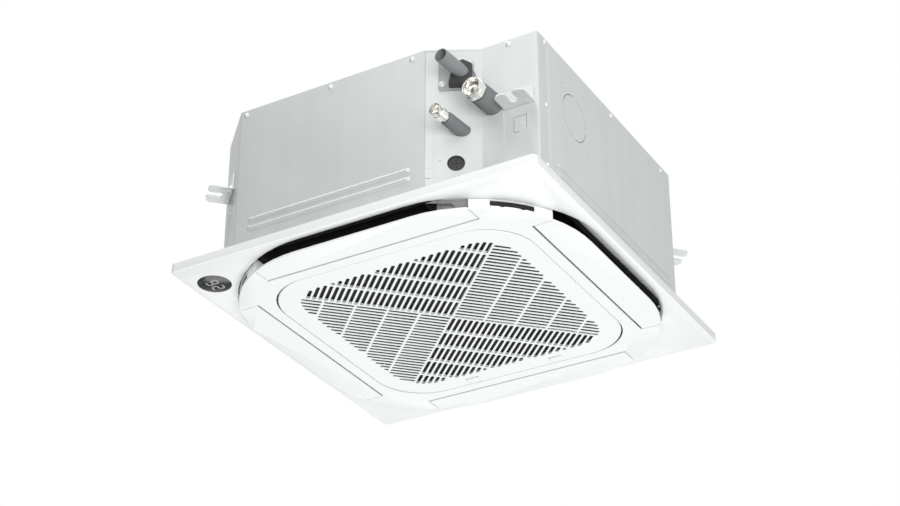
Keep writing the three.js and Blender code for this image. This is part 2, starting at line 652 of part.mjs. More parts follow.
function drainPump() {
  const { x, y, r } = PUMP;
  const body = lathe([[0, SUMP_Z + GAP], [11, SUMP_Z + GAP], [11, 52], [r, 54], [r, 74], [17, 80], [17, 86],
    [20, 88], [20, 128], [14, 132], [0, 132]], 16).translate(x, y, 0);
  const hose = tube([[x, y, 66], [x - 1, y - r - 2, 67], [x - 2, y - r - 5, 90], [x - 2, y - r - 5, 170],
    [x - 4, y - r - 7, 205], [x - 9, y - r - 14, DRAIN.z]], 7, 12, 8);
  return join(body, hose);
}

function floatSwitch() {
  const { x, y, stem, r } = FLOAT;
  const guide = lathe([[0, SUMP_Z + GAP], [5, SUMP_Z + GAP], [5, SUMP_Z + 2.5], [stem, SUMP_Z + 2.5],
    [stem, 78], [0, 78]], 10).translate(x, y, 0);
  const head = block(x - 11, x + 11, y - 9, y + r, 76, 90);
  const foot = block(x - 11, x + 11, -HALF + RECESS + LINING.inset + LINING.thick + GAP, y, 86, 90);
  return join(guide, head, foot);
}

function floatBall() {
  const { x, y, r, bore, height } = FLOAT;
  const z = SUMP_Z + 3;
  return lathe([[bore, z], [r - 3, z], [r, z + 3], [r, z + height - 3], [r - 3, z + height],
    [bore, z + height]], 16)
    .translate(x, y, 0);
}

function buildInside() {
  add('foam_liner', foamLiner(), FOAM);
  add('drain_pan', drainPan(), FOAM);
  add('heat_exchanger', coil(), ALUMINIUM);
  const ends = { a: [COIL.half, -150 - 1.5 - GAP, 0], b: [110 + 1.5 + GAP, -COIL.half, 90] };
  Object.entries(ends).forEach(([key, [x, y, degrees]]) => {
    const end = add(`coil_end_${key}`, coilEnd(), COPPER);
    end.position.set(x, y, 0);
    end.rotation.z = THREE.MathUtils.degToRad(degrees);
  });
  add('fan_motor', fanMotor(), DARK);
  add('motor_shaft', motorShaft(), ZINC);
  add('turbo_fan', turboFan(), DARK);
  add('bell_mouth', bellMouth(), WHITE);
  add('control_box', controlBox(), COATED);
  add('control_cover', prism(boxPlan(0), BOX.low - GAP - SHEET, BOX.low - GAP), COATED);
  add('control_board', controlBoard(), finish(0x2f6a45, 0.6, 0));
  add('terminal_block', terminalBlock(), DARK);
  add('drain_pump', drainPump(), WHITE);
  add('float_switch', floatSwitch(), WHITE);
  add('drain_float', floatBall(), WHITE);
}

// ---- pipe stubs ----------------------------------------------------------------------------

const PLATE = { half: 26, t: 2, r: 4 };

// Local frame of the oblique wall: X along it, Y up, Z outward.
function onObliqueWall(mesh, s, z, off) {
  const p = onOblique(s);
  const out = v2(obliqueAlong.y, -obliqueAlong.x);
  mesh.position.set(p.x + out.x * off, p.y + out.y * off, z);
  mesh.quaternion.setFromRotationMatrix(new THREE.Matrix4().makeBasis(
    new THREE.Vector3(obliqueAlong.x, obliqueAlong.y, 0), new THREE.Vector3(0, 0, 1),
    new THREE.Vector3(out.x, out.y, 0)));
}

const CLAMP_S = 45.3;

function drainBore(r) {
  const a = obliqueAngle + PIPE_TURN;
  const shift = (DRAIN.x - OBLIQUE_X[0]) / Math.cos(obliqueAngle) - CLAMP_S;
  return rod([shift + 60 * Math.sin(a), 0, -60 * Math.cos(a)], [shift - 60 * Math.sin(a), 0, 60 * Math.cos(a)],
    r, 20);
}

function buildStubs() {
  add('gas_pipe', gasPipe(), COPPER);
  add('liquid_pipe', liquidPipe(), COPPER);
  add('gas_sleeve', pipeSleeve(GAS), RUBBER);
  add('liquid_sleeve', pipeSleeve(LIQUID), RUBBER);
  placeOnStub(add('gas_flare_nut', flareNut(GAS), BRASS), GAS, GAS.bare - 1.4);
  placeOnStub(add('liquid_flare_nut', flareNut(LIQUID), BRASS), LIQUID, LIQUID.bare - 1.4);

  const { half, t, r } = PLATE;
  const plate = prism(roundedSquare(half, r, 3), 0, t);
  const clamp = add('drain_clamp_plate', cut(plate, drainBore(DRAIN.outer + 2 * GAP)), ZINC);
  onObliqueWall(clamp, CLAMP_S, DRAIN.z, GAP);
  const collar = prism([v2(-11, -22), v2(24, -22), v2(24, 12), v2(10, 20), v2(-4, 12)], t + GAP, 16);
  const socket = add('drain_socket', cut(collar, drainBore(DRAIN.outer + 2 * GAP)), DARK);
  onObliqueWall(socket, CLAMP_S, DRAIN.z, GAP);
  const [inside, outside] = pipeEnd(DRAIN, 6);
  add('drain_pipe', rod(inside, outside, DRAIN.outer, 24, DRAIN.bore), finish(0x6d6f70, 0.6, 0));

  const bush = lathe([[CABLE.r - 2.6, -2], [CABLE.r - GAP, -2], [CABLE.r - GAP, LAP + GAP],
    [CABLE.r + 1.6, LAP + GAP],
    [CABLE.r + 1.6, LAP + 1.8], [CABLE.r - 2.6, LAP + 1.8]], 16);
  onObliqueWall(add('cable_bush', bush, RUBBER), CABLE.along, CABLE.z, SHEET);
}

// ---- panel ---------------------------------------------------------------------------------

const throatR = (half) => (half - THROAT_DIAGONAL) / DIAGONAL_LOSS;
const ARC = 8;
const DISPLAY = { x: 39 - PANEL / 2, y: 61.5 - PANEL / 2, r: 26, t: 1.8 };

function panelFrame() {
  const p = PANEL / 2;
  const outer = (inset, z) => lift(roundedSquare(p - inset, PANEL_R - Math.min(inset, 5), ARC), z);
  const throat = (beyond, out, z) => {
    const half = ISLAND.half + beyond;
    return lift(roundedSquare(half + out, throatR(half) + out, ARC), z);
  };
  const ring = ringLoft([outer(0, LIP), outer(0, 1), outer(0.9, 0), throat(8.5, 0, 0), throat(4, 0, 1.6),
    throat(-0.5, 0, 5.4), throat(-1.9, 0, 9.5), throat(-1.9, 1.8, 9.5), throat(-0.5, 2, 6.6),
    throat(4, 2, 3.6), throat(8.5, 1.5, SKIN), outer(SKIN, SKIN), outer(SKIN, LIP)]);
  return cut(ring, prism(circle(DISPLAY.r + GAP, 28, DISPLAY.x, DISPLAY.y), -1, SKIN + 1));
}

const spinAll = (make) => [0, 90, 180, 270].map((a) => turned(make(), a));

function centreFrame() {
  const { half, r } = ISLAND;
  const outline = roundedSquare(half, r, 14);
  const [wallTop, endX] = [8.5, FLAP_LENGTH / 2 + FLAP_END_GAP];
  const plate = prism(outline, FACE_Z, FACE_Z + SKIN, [roundedSquare(INTAKE.half, INTAKE.r, 8)]);
  const rim = prism(outline, FACE_Z + 1, wallTop, [leftOf(outline, SKIN, true)]);
  const duct = prism(roundedSquare(DUCT.half, DUCT.r, 6), FACE_Z + 1, DUCT_TOP,
    [leftOf(roundedSquare(DUCT.half, DUCT.r, 6), SKIN, true)]);
  const ends = spinAll(() => join(
    block(endX, endX + SKIN, -half + 5, -DUCT.half + 1, FACE_Z + 1, wallTop),
    block(-endX - SKIN, -endX, -half + 5, -DUCT.half + 1, FACE_Z + 1, wallTop)));
  const solid = common(join(plate, rim, duct, ...ends), prism(outline, FACE_Z, DUCT_TOP));
  const openings = spinAll(() => block(-endX, endX, -half - 5, -FLAP_SLOT, FACE_Z - 1, DUCT_TOP + 1));
  const pins = spinAll(() => rod([-half, -FLAP_AXIS.out, FLAP_AXIS.z], [half, -FLAP_AXIS.out, FLAP_AXIS.z],
    PIN_R + PIN_CLEAR, 10));
  const windows = [45, 135, 225, 315].map((a) => turned(block(half - 70, half + 70, -33, 33, -10, -1), a));
  return join(cut(solid, ...openings, ...pins, ...windows), ...doorLugs());
}

// Two legs with a pin between them on an arm from the duct wall, at each end of the door's hinge. The
// legs stand on the inner side of the axis and the arm high up, clear of the door's edge as it swings.
function doorLugs() {
  const { x, y, z, pin } = DOOR_AXIS;
  const { reach, width, t, arm } = LUG;
  const top = z + (INTAKE.half - GRILLE_GAP + y) + pin;
  return [-x, x].map((cx) => join(
    block(cx - reach, cx + reach, -DUCT.half + 1, y + t, top, top + arm),
    ...[-1, 1].map((s) => {
      const inner = cx + s * (reach - width / 2);
      return block(inner - width / 2, inner + width / 2, y - GAP / 2, y + t, z - pin, top + 1);
    }),
    rod([cx - reach + 1, y, z], [cx + reach - 1, y, z], pin, 8)));
}

function flap() {
  const { half, r } = ISLAND;
  const l = FLAP_LENGTH / 2;
  const outline = prism(roundedSquare(half, r, 14), FACE_Z, FACE_Z + FLAP_T);
  const blade = common(outline, block(-l, l, -half - 1, -FLAP_INNER, FACE_Z, FACE_Z + FLAP_T));
  const bar = rod([-l + 1, -FLAP_AXIS.out, FLAP_AXIS.z], [l - 1, -FLAP_AXIS.out, FLAP_AXIS.z], 1.6, 6);
  const web = (x) => block(x - 1.2, x + 1.2, -FLAP_AXIS.out - 3.4, -FLAP_AXIS.out + 3.2, FACE_Z + 1,
    FLAP_AXIS.z + 2);
  const pins = [-1, 1].map((s) => rod([s * (l - 4), -FLAP_AXIS.out, FLAP_AXIS.z],
    [s * (l + 7), -FLAP_AXIS.out, FLAP_AXIS.z], PIN_R, 10));
  const webs = [-l + 1.2, -l / 3, l / 3, l - 1.2].map(web);
  const rib = common(prism(roundedSquare(half - 6, r - 6, 14), FACE_Z + 1, FACE_Z + 5.5,
    [roundedSquare(half - 8, r - 8, 14)]), block(-l, l, -half, -half + 28, FACE_Z, FACE_Z + 6));
  return join(blade, bar, rib, ...webs, ...pins);
}

// Small geared motor whose offset output cup takes the flap's pin, along +X from the flap's end.
function flapMotor() {
  const { y, z, r, from, to } = FLAP_MOTOR;
  const can = rod([from, y, z], [to, y, z], r, 16);
  const ears = block(from, from + 2, y - 15, y + 9.5, z - 3, z + 3);
  const cup = rod([4.8, 0, 0], [10, 0, 0], 4, 10, PIN_R + GAP);
  return join(can, ears, cup);
}

// Point of the grille given along the +X, +Y diagonal and across it, towards the +X, -Y corner.
const onDiagonal = (along, across) => v2((along + across) * Math.SQRT1_2, (along - across) * Math.SQRT1_2);

function insideField({ x, y }) {
  const straight = FIELD.half - FIELD.r;
  const ax = Math.abs(x) - straight;
  const ay = Math.abs(y) - straight;
  return ax > 0 && ay > 0 ? Math.hypot(ax, ay) < FIELD.r : Math.max(ax, ay) < FIELD.r;
}

// Largest distance along the diagonal at which both sides of a bar or slot are still in the field.
function runOut(across, halfWidth) {
  const fits = (u) => [-halfWidth, halfWidth].every((side) => insideField(onDiagonal(u, across + side)));
  let to = FIELD.half * Math.SQRT2;
  while (to > 0 && !fits(to)) to -= 1;
  return to;
}

// Slots between the two diagonals on the +X side, clipped to the rounded field.
function quadrantSlots() {
  const reach = FIELD.half * Math.SQRT2;
  const w = SLOT_WIDTH / 2;
  const slots = [];
  for (let across = w + RIB / 2; across < reach; across += SLOT_PITCH) {
    const to = runOut(across, w);
    if (to > SLOT_WIDTH) {
      slots.push([[RIB / 2, -w], [RIB / 2, w], [to, w], [to, -w]].map(([u, side]) =>
        onDiagonal(u, across + side)));
    }
  }
  return slots;
}

// The same slots turned a quarter at a time, so that neighbours run across each other.
function fieldSlots() {
  const slots = quadrantSlots();
  return [0, 1, 2, 3].flatMap((quarter) => slots.map((slot) =>
    slot.map((p) => p.clone().rotateAround(v2(0, 0), (quarter * Math.PI) / 2))));
}

function intakeGrille() {
  const half = INTAKE.half - GRILLE_GAP;
  const { y, z, x, knuckle, bore, pin } = DOOR_AXIS;
  const [floor, rimTop, soft, lap] = [FACE_Z + GRILLE_T, FACE_Z + GRILLE_RIM, 1.6, 13];
  const slots = mergeGeometries(fieldSlots().map((slot) => prism(slot, FACE_Z - 1, floor + 1)));
  const field = cut(prism(roundedSquare(half - lap + 3, GRILLE_R - lap + 3, 5), FACE_Z, floor), slots);
  const at = (inset, h) => lift(roundedSquare(half - inset, GRILLE_R - inset, 8), h);
  const rim = ringLoft([at(0, FACE_Z + soft), at(soft, FACE_Z), at(lap, FACE_Z), at(lap, floor),
    at(2.4, floor),
    at(2.4, rimTop), at(0, rimTop)]);
  const room = LUG.reach + 2;
  const notches = [-x, x].flatMap((cx) => [
    block(cx - room, cx + room, -half - 1, -half + 3, floor, rimTop + 1),
    block(cx - room, cx + room, y - 3 * pin, y + LUG.t + GAP, z - pin - GAP, rimTop + 1)]);
  const gates = [-LATCH.x, LATCH.x].flatMap((cx) => [
    block(cx - LATCH.width / 2, cx + LATCH.width / 2, LATCH.y - LATCH.depth / 2, LATCH.y + LATCH.depth / 2,
      FACE_Z - 1, floor + 1),
    block(cx - 7, cx + 7, half - 3, half + 1, floor, rimTop - 1)]);
  const knuckles = [-x, x].map((cx) => rod([cx - 6, y, z], [cx + 6, y, z], knuckle, 10));
  const bores = [-x, x].map((cx) => rod([cx - 7, y, z], [cx + 7, y, z], bore, 8));
  return cut(join(cut(join(field, rim), ...notches, ...gates), ...knuckles), ...bores);
}

// Ribs that tie the bars of each quadrant together, with the two diagonals, inside one rounded ring.
function grilleRibs() {
  const z = FACE_Z + GRILLE_T + GAP;
  const { half, r } = FIELD;
  const sheet = prism(roundedSquare(half + 3, r + 3, 6), z, z + RIB_T);
  const field = prism(roundedSquare(half, r, 6), z - 1, z + RIB_T + 1);
  const cell = (row) => {
    const [near, far] = [row * ROW_PITCH + RIB / 2, (row + 1) * ROW_PITCH - RIB / 2];
    const corners = [[near, RIB / 2], [near, 2 * half], [far, 2 * half], [far, RIB / 2]];
    return common(prism(corners.map(([u, w]) => onDiagonal(u, w)), z - 1, z + RIB_T + 1), field);
  };
  const quarter = [0, 1, 2, 3, 4].map(cell);
  return cut(sheet, ...[0, 90, 180, 270].map((a) => mergeGeometries(quarter.map((g) => turned(g, a)))));
}

// Press latch: a plate behind the face, its button in the face, and a tongue towards the frame. It
// slides inwards by its travel, in an opening that much deeper than the button.
function latch() {
  const floor = FACE_Z + GRILLE_T + GAP;
  const y = LATCH.depth / 2;
  const w = LATCH.width / 2 - 0.4;
  const half = INTAKE.half - GRILLE_GAP;
  const plate = block(-w - 1, w + 1, -y - 0.5, y + 1, floor, floor + 2.4);
  const tongue = block(-6, 6, y, half + 0.5 - LATCH.y, floor + 0.4, floor + 2.4);
  const button = block(-w, w, LATCH.travel + 0.4 - y, y - 0.4, FACE_Z + 0.2, floor + 1);
  return join(plate, tongue, button);
}

function airFilter() {
  const [z, half, r, bar, t] = [FACE_Z + GRILLE_T + RIB_T + 2 * GAP, FIELD.half - 3, FIELD.r - 6, 7, 3.2];
  const frame = prism(roundedSquare(half, r, 6), z, z + t, [roundedSquare(half - bar, r - bar, 6)]);
  const bars = [-half / 3, 0, half / 3].flatMap((c) => {
    const span = half - 2;
    return [block(c - 1.4, c + 1.4, -span, span, z + 0.6, z + 2.4),
      block(-span, span, c - 1.4, c + 1.4, z + 0.6, z + 2.4)];
  });
  const trimmedBars = common(join(...bars), prism(roundedSquare(half - 1, r - 1, 6), z, z + t));
  return join(frame, trimmedBars);
}

function buildPanel() {
  add('panel_frame', panelFrame(), WHITE);
  add('centre_frame', centreFrame(), WHITE);
  ['front', 'right', 'rear', 'left'].forEach((side, i) => {
    const turn = new THREE.Group();
    turn.rotation.z = (i * Math.PI) / 2;
    unit.add(turn);
    add(`flap_${side}`, flap(), WHITE, turn);
    const motor = add(`flap_motor_${side}`, flapMotor(), DARK, turn);
    motor.position.set(FLAP_LENGTH / 2 + FLAP_END_GAP - FLAP_MOTOR.into, -FLAP_AXIS.out, FLAP_AXIS.z);
  });
  add('intake_grille', intakeGrille(), WHITE);
  add('grille_ribs', grilleRibs(), WHITE);
  Object.entries({ left: -LATCH.x, right: LATCH.x }).forEach(([side, x]) => {
    add(`latch_${side}`, latch(), WHITE).position.set(x, LATCH.y, 0);
  });
  add('air_filter', airFilter(), DARK);
  const lens = lathe([[0, 0], [DISPLAY.r - 0.6, 0], [DISPLAY.r, 0.5], [DISPLAY.r, DISPLAY.t],
    [0, DISPLAY.t]], 28);
  add('display_lens', lens, finish(0x0a0a0b, 0.12, 0)).position.set(DISPLAY.x, DISPLAY.y, -0.2);
  const board = prism(circle(DISPLAY.r - 3, 16), DISPLAY.t + 0.1, DISPLAY.t + 5);
  add('display_board', board, DARK).position.set(DISPLAY.x, DISPLAY.y, 0);
}

buildCabinet();
buildInside();
buildStubs();
buildPanel();

unit.position.z = -HANGER_Z;
const cassette = new THREE.Group();
cassette.name = 'ceiling_cassette_air_conditioner';
cassette.add(unit);

export default cassette;
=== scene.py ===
import json
import math

import bmesh
import bpy
from mathutils import Matrix, Vector


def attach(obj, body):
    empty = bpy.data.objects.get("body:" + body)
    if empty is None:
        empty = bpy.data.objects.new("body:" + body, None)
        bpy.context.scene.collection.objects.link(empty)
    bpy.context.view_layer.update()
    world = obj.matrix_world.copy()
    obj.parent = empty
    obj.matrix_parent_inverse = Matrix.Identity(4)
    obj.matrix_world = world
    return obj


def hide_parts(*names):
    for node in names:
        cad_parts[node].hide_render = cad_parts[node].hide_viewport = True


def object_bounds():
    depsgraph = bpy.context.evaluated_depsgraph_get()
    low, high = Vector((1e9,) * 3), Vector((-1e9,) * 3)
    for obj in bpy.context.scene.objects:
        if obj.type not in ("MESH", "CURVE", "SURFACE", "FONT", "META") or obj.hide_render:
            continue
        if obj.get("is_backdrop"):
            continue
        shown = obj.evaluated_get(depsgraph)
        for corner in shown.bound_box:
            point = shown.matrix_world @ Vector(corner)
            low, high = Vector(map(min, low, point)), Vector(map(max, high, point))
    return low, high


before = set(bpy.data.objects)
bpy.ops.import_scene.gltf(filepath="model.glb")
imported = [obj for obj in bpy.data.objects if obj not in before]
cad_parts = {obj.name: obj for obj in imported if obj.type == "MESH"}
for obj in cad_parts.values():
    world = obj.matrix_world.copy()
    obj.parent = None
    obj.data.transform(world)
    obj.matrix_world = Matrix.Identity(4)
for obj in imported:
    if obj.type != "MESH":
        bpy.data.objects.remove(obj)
cad_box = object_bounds()

# ---- Room: camera, floor and lamps ----
# A plain studio. The unit hangs over a pale floor, and the photograph looks up at its underside
# from below, over the corner where the pipes leave it. The lamps are wide and soft.


def linear(hex_colour):
    """sRGB hex to linear RGBA."""
    parts = [int(hex_colour[i:i + 2], 16) / 255 for i in (1, 3, 5)]
    return [c / 12.92 if c <= 0.04045 else ((c + 0.055) / 1.055) ** 2.4 for c in parts] + [1.0]


def add_node(tree, kind, sockets=None, **settings):
    """Adds one shader node, sets it up, and links or fills its inputs."""
    made = tree.nodes.new("ShaderNode" + kind)
    for name, value in settings.items():
        setattr(made, name, value)
    for name, value in (sockets or {}).items():
        if isinstance(value, bpy.types.NodeSocket):
            tree.links.new(value, made.inputs[name])
        else:
            made.inputs[name].default_value = value
    return made


def blend(tree, factor, dark, light):
    """A mix of two sRGB colours."""
    return add_node(tree, "Mix", {"Factor": factor, "A": linear(dark), "B": linear(light)}, data_type="RGBA")


camera = bpy.data.objects.new("camera", bpy.data.cameras.new("camera"))
camera.data.sensor_width = 36
camera.data.lens = 80.45
camera.data.clip_start, camera.data.clip_end = 0.1, 40
camera.location = (1.3650, -2.3704, -1.6292)
camera.rotation_euler = Matrix(((0.8660, 0.25, 0.4330), (0.5, -0.4330, -0.75), (0, 0.8660, -0.5))).to_euler()
bpy.context.scene.collection.objects.link(camera)
bpy.context.scene.camera = camera
bpy.context.scene.view_settings.view_transform = "Standard"

world = bpy.data.worlds.new("studio")
bpy.context.scene.world = world
world.use_nodes = True
tree = world.node_tree
tree.nodes.clear()
path = add_node(tree, "LightPath")
seen = add_node(tree, "Math", {0: path.outputs["Is Camera Ray"], 1: path.outputs["Is Glossy Ray"]},
                operation="MAXIMUM")
seen = add_node(tree, "Math", {0: seen.outputs[0], 1: path.outputs["Is Transmission Ray"]},
                operation="MAXIMUM")
fill = add_node(tree, "Background", {"Color": linear("#F4F7F8"), "Strength": 0.42})
white = add_node(tree, "Background", {"Color": (1, 1, 1, 1), "Strength": 1.0})
both = add_node(tree, "MixShader", {0: seen.outputs[0], 1: fill.outputs[0], 2: white.outputs[0]})
add_node(tree, "OutputWorld", {"Surface": both.outputs[0]})

floor_paint = bpy.data.materials.new("pale_floor_paint")
floor_paint.use_nodes = True
tree = floor_paint.node_tree
grain = add_node(tree, "TexNoise", {"Vector": add_node(tree, "TexCoord").outputs["Object"], "Scale": 60.0})
tint = blend(tree, grain.outputs["Fac"], "#EDEFEF", "#F6F7F7")
shader = tree.nodes["Principled BSDF"]
tree.links.new(tint.outputs["Result"], shader.inputs["Base Color"])
shader.inputs["Roughness"].default_value = 0.8
FLOOR_Z = -3.6
sheet = bmesh.new()
bmesh.ops.create_grid(sheet, x_segments=1, y_segments=1, size=9.0)
bmesh.ops.translate(sheet, verts=sheet.verts, vec=(0, 0, FLOOR_Z))
mesh = bpy.data.meshes.new("floor")
sheet.to_mesh(mesh)
sheet.free()
mesh.materials.append(floor_paint)
floor = bpy.data.objects.new("floor", mesh)
bpy.context.scene.collection.objects.link(floor)
floor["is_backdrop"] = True

# Each lamp: name, place, width, height, watts. All of them face the unit.
LAMPS = [("lamp_front", (2.0, -2.7, -1.0), 2.2, 2.0, 92),
         ("lamp_below", (-0.7, 1.5, -2.8), 2.6, 2.6, 56),
         ("lamp_above", (-0.6, -1.0, 2.8), 2.4, 2.4, 60)]
for name, place, width, height, watts in LAMPS:
    lamp = bpy.data.lights.new(name, "AREA")
    lamp.shape, lamp.size, lamp.size_y, lamp.energy = "RECTANGLE", width, height, watts
    holder = bpy.data.objects.new(name, lamp)
    holder.location = place
    holder.rotation_euler = (-Vector(place)).to_track_quat("-Z", "Y").to_euler()
    bpy.context.scene.collection.objects.link(holder)

# A dark card stands off the left corner, out of the picture, to keep some of the room's light off it.
flag_paint = bpy.data.materials.new("black_card")
flag_paint.use_nodes = True
flag_paint.node_tree.nodes["Principled BSDF"].inputs["Base Color"].default_value = linear("#202020")
flag_mesh = bmesh.new()
bmesh.ops.create_grid(flag_mesh, x_segments=1, y_segments=1, size=1.3)
bmesh.ops.rotate(flag_mesh, verts=flag_mesh.verts, matrix=Matrix.Rotation(math.radians(90), 3, "X"))
bmesh.ops.rotate(flag_mesh, verts=flag_mesh.verts, matrix=Matrix.Rotation(math.radians(-45), 3, "Z"))
bmesh.ops.translate(flag_mesh, verts=flag_mesh.verts, vec=(-1.3, -1.3, 0.1))
flag_data = bpy.data.meshes.new("dark_flag")
flag_mesh.to_mesh(flag_data)
flag_mesh.free()
flag_data.materials.append(flag_paint)
dark_flag = bpy.data.objects.new("dark_flag", flag_data)
bpy.context.scene.collection.objects.link(dark_flag)
dark_flag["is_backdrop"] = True

# ---- Cabinet walls: side_plate_front, side_plate_right, side_plate_rear, side_plate_left ----
# Four folded sheets of 1.2 mm pre-coated galvanised steel, pale grey with a soft sheen. Each is bent
# at a corner chamfer, stiffened by two pressed beads low down, and screwed under the lid.

SHEET = 1.2
HALF, FLAT = 285.0, 213.0
WALL_LOW, WALL_HIGH = 10.0, 268.5
RECESS_Y = -246.0
OBLIQUE = (118.5, 192.0)
FOLD_RADIUS = 2.4
CREASE = 150.0

# Drawing millimetres, counted up from the panel's crease, to the frame's metres.
TO_FRAME = Matrix.Scale(0.001, 4) @ Matrix.Translation((0, 0, -CREASE))


def quarter_turn(times):
    """A turn about the unit's own axis."""
    return Matrix.Rotation(math.radians(90 * times), 4, "Z")


def new_finish(name):
    """An empty material, its node tree and the piece's own coordinates."""
    made = bpy.data.materials.new(name)
    made.use_nodes = True
    return made, made.node_tree, add_node(made.node_tree, "TexCoord").outputs["Object"]


def wire(tree, colour, rough=None, bump=None):
    """Links a colour, and a roughness and a bump where there are any, to the shader."""
    inputs = tree.nodes["Principled BSDF"].inputs
    tree.links.new(colour.outputs["Result"], inputs["Base Color"])
    if rough:
        tree.links.new(rough.outputs[0], inputs["Roughness"])
    if bump:
        tree.links.new(bump.outputs[0], inputs["Normal"])


def coated_steel():
    """Pre-coated steel sheet: a satin lacquer over metal, so it shades softly, with a faint vertical
    roll pattern about 25 mm wide and a fine orange peel."""
    made, tree, place = new_finish("pre_coated_steel_sheet")
    long_way = add_node(tree, "Mapping", {"Vector": place, "Scale": (40, 40, 1.2)})
    roll = add_node(tree, "TexNoise", {"Vector": long_way.outputs[0], "Scale": 1.0, "Detail": 3.0})
    cloud = add_node(tree, "TexNoise", {"Vector": place, "Scale": 9.0, "Detail": 4.0})
    mixed = add_node(tree, "Math", {0: roll.outputs["Fac"], 1: cloud.outputs["Fac"]}, operation="ADD")
    tone = add_node(tree, "MapRange", {"Value": mixed.outputs[0], "From Min": 0.7, "From Max": 1.3})
    colour = blend(tree, tone.outputs[0], "#CFD3D2", "#D5D9D8")
    rough = add_node(tree, "MapRange", {"Value": cloud.outputs["Fac"], "To Min": 0.36, "To Max": 0.46})
    peel = add_node(tree, "TexNoise", {"Vector": place, "Scale": 900.0, "Detail": 2.0})
    bump = add_node(tree, "Bump", {"Height": peel.outputs["Fac"], "Strength": 0.04, "Distance": 0.0003})
    shader = tree.nodes["Principled BSDF"]
    shader.inputs["Metallic"].default_value = 0.25
    wire(tree, colour, rough, bump)
    return made


COATED = coated_steel()


MITRE = 0.46  # how far a sheet's end runs past the fold line on a chamfer
ROUND_EDGES = {"profile": 0.5, "affect": "EDGES", "clamp_overlap": True, "material": -1}


def folded(points, low, high, thickness=SHEET, radius=FOLD_RADIUS):
    """A sheet bent along a plan line whose outer face lies on the line, outside to its right."""
    sheet = bmesh.new()
    feet = [sheet.verts.new((x, y, low)) for x, y in points]
    runs = [sheet.edges.new(pair) for pair in zip(feet, feet[1:])]
    made = bmesh.ops.extrude_edge_only(sheet, edges=runs)
    tops = [v for v in made["geom"] if isinstance(v, bmesh.types.BMVert)]
    bmesh.ops.translate(sheet, verts=tops, vec=(0, 0, high - low))
    sheet.normal_update()
    ahead = Vector((*points[1], 0)) - Vector((*points[0], 0))
    first = min(sheet.faces, key=lambda f: (f.calc_center_median() - (feet[0].co + ahead / 2)).length)
    if first.normal.dot(Vector((ahead.y, -ahead.x, 0))) < 0:
        bmesh.ops.reverse_faces(sheet, faces=sheet.faces)
    folds = [e for e in sheet.edges if not e.is_boundary]
    if folds and radius:
        bmesh.ops.bevel(sheet, geom=folds, offset=radius, segments=5, **ROUND_EDGES)
    bmesh.ops.solidify(sheet, geom=sheet.faces[:], thickness=thickness)
    return sheet


def box(x0, x1, y0, y1, z0, z1, soft=0.0, segments=2):
    """A block between two corners, its edges rounded by soft."""
    block = bmesh.new()
    bmesh.ops.create_cube(block, size=1)
    bmesh.ops.scale(block, verts=block.verts, vec=(x1 - x0, y1 - y0, z1 - z0))
    bmesh.ops.translate(block, verts=block.verts, vec=((x0 + x1) / 2, (y0 + y1) / 2, (z0 + z1) / 2))
    if soft:
        bmesh.ops.bevel(block, geom=block.edges[:], offset=soft, segments=segments, **ROUND_EDGES)
    return block


def gather(*parts):
    """Moves several bmeshes into the first."""
    for part in parts[1:]:
        spare = bpy.data.meshes.new("spare")
        part.to_mesh(spare)
        part.free()
        parts[0].from_mesh(spare)
        bpy.data.meshes.remove(spare)
    return parts[0]


def moved(part, *matrices):
    """Applies the matrices to a bmesh, the last one first."""
    for matrix in reversed(matrices):
        bmesh.ops.transform(part, matrix=matrix, verts=part.verts)
    return part


def bead(length):
    """A pressed bead along X on a wall that faces -Y: 8 mm tall, 2.6 mm proud, with sloping ends."""
    rib = box(-length / 2, length / 2, -2.6, 0.6, -4.2, 4.2)
    crown = [v for v in rib.verts if v.co.y < -1]
    for v in crown:
        v.co.x -= math.copysign(6.0, v.co.x)
        v.co.z *= 0.38
    rims = [e for e in rib.edges if any(v in crown for v in e.verts)]
    bmesh.ops.bevel(rib, geom=rims, offset=1.1, segments=3, **ROUND_EDGES)
    return rib


def less(body, cutter, operation="DIFFERENCE", solver="EXACT"):
    """body with cutter taken away, or joined on for a UNION, both closed."""
    pair = []
    for part in (body, cutter):
        bmesh.ops.recalc_face_normals(part, faces=part.faces)
        mesh = bpy.data.meshes.new("blank")
        part.to_mesh(mesh)
        part.free()
        pair.append(bpy.data.objects.new("blank", mesh))
        bpy.context.scene.collection.objects.link(pair[-1])
    tool = pair[0].modifiers.new("cut", "BOOLEAN")
    tool.operation, tool.solver, tool.object = operation, solver, pair[1]
    tool.use_self = solver == "EXACT"
    bpy.context.view_layer.update()
    result = bmesh.new()
    result.from_object(pair[0], bpy.context.evaluated_depsgraph_get())
    for blank in pair:
        mesh = blank.data
        bpy.data.objects.remove(blank)
        bpy.data.meshes.remove(mesh)
    return result


def piece(name, part, finish, sharp=32):
    """The finished object of a bmesh drawn in millimetres, with edges sharper than so many degrees."""
    bmesh.ops.remove_doubles(part, verts=part.verts, dist=0.002)
    bmesh.ops.recalc_face_normals(part, faces=part.faces)
    bmesh.ops.transform(part, matrix=TO_FRAME, verts=part.verts)
    mesh = bpy.data.meshes.new(name)
    part.to_mesh(mesh)
    part.free()
    mesh.materials.append(finish)
    mesh.shade_smooth()
    mesh.set_sharp_from_angle(angle=math.radians(sharp))
    made = bpy.data.objects.new(name, mesh)
    bpy.context.scene.collection.objects.link(made)
    return made


def rod(start, end, radius, segments=32):
    """A closed round bar between two points."""
    bar = bmesh.new()
    start, end = Vector(start), Vector(end)
    bmesh.ops.create_cone(bar, cap_ends=True, segments=segments, radius1=radius, radius2=radius,
                          depth=(end - start).length)
    turn = (end - start).to_track_quat("Z", "Y").to_matrix().to_4x4()
    return moved(bar, Matrix.Translation((start + end) / 2), turn)


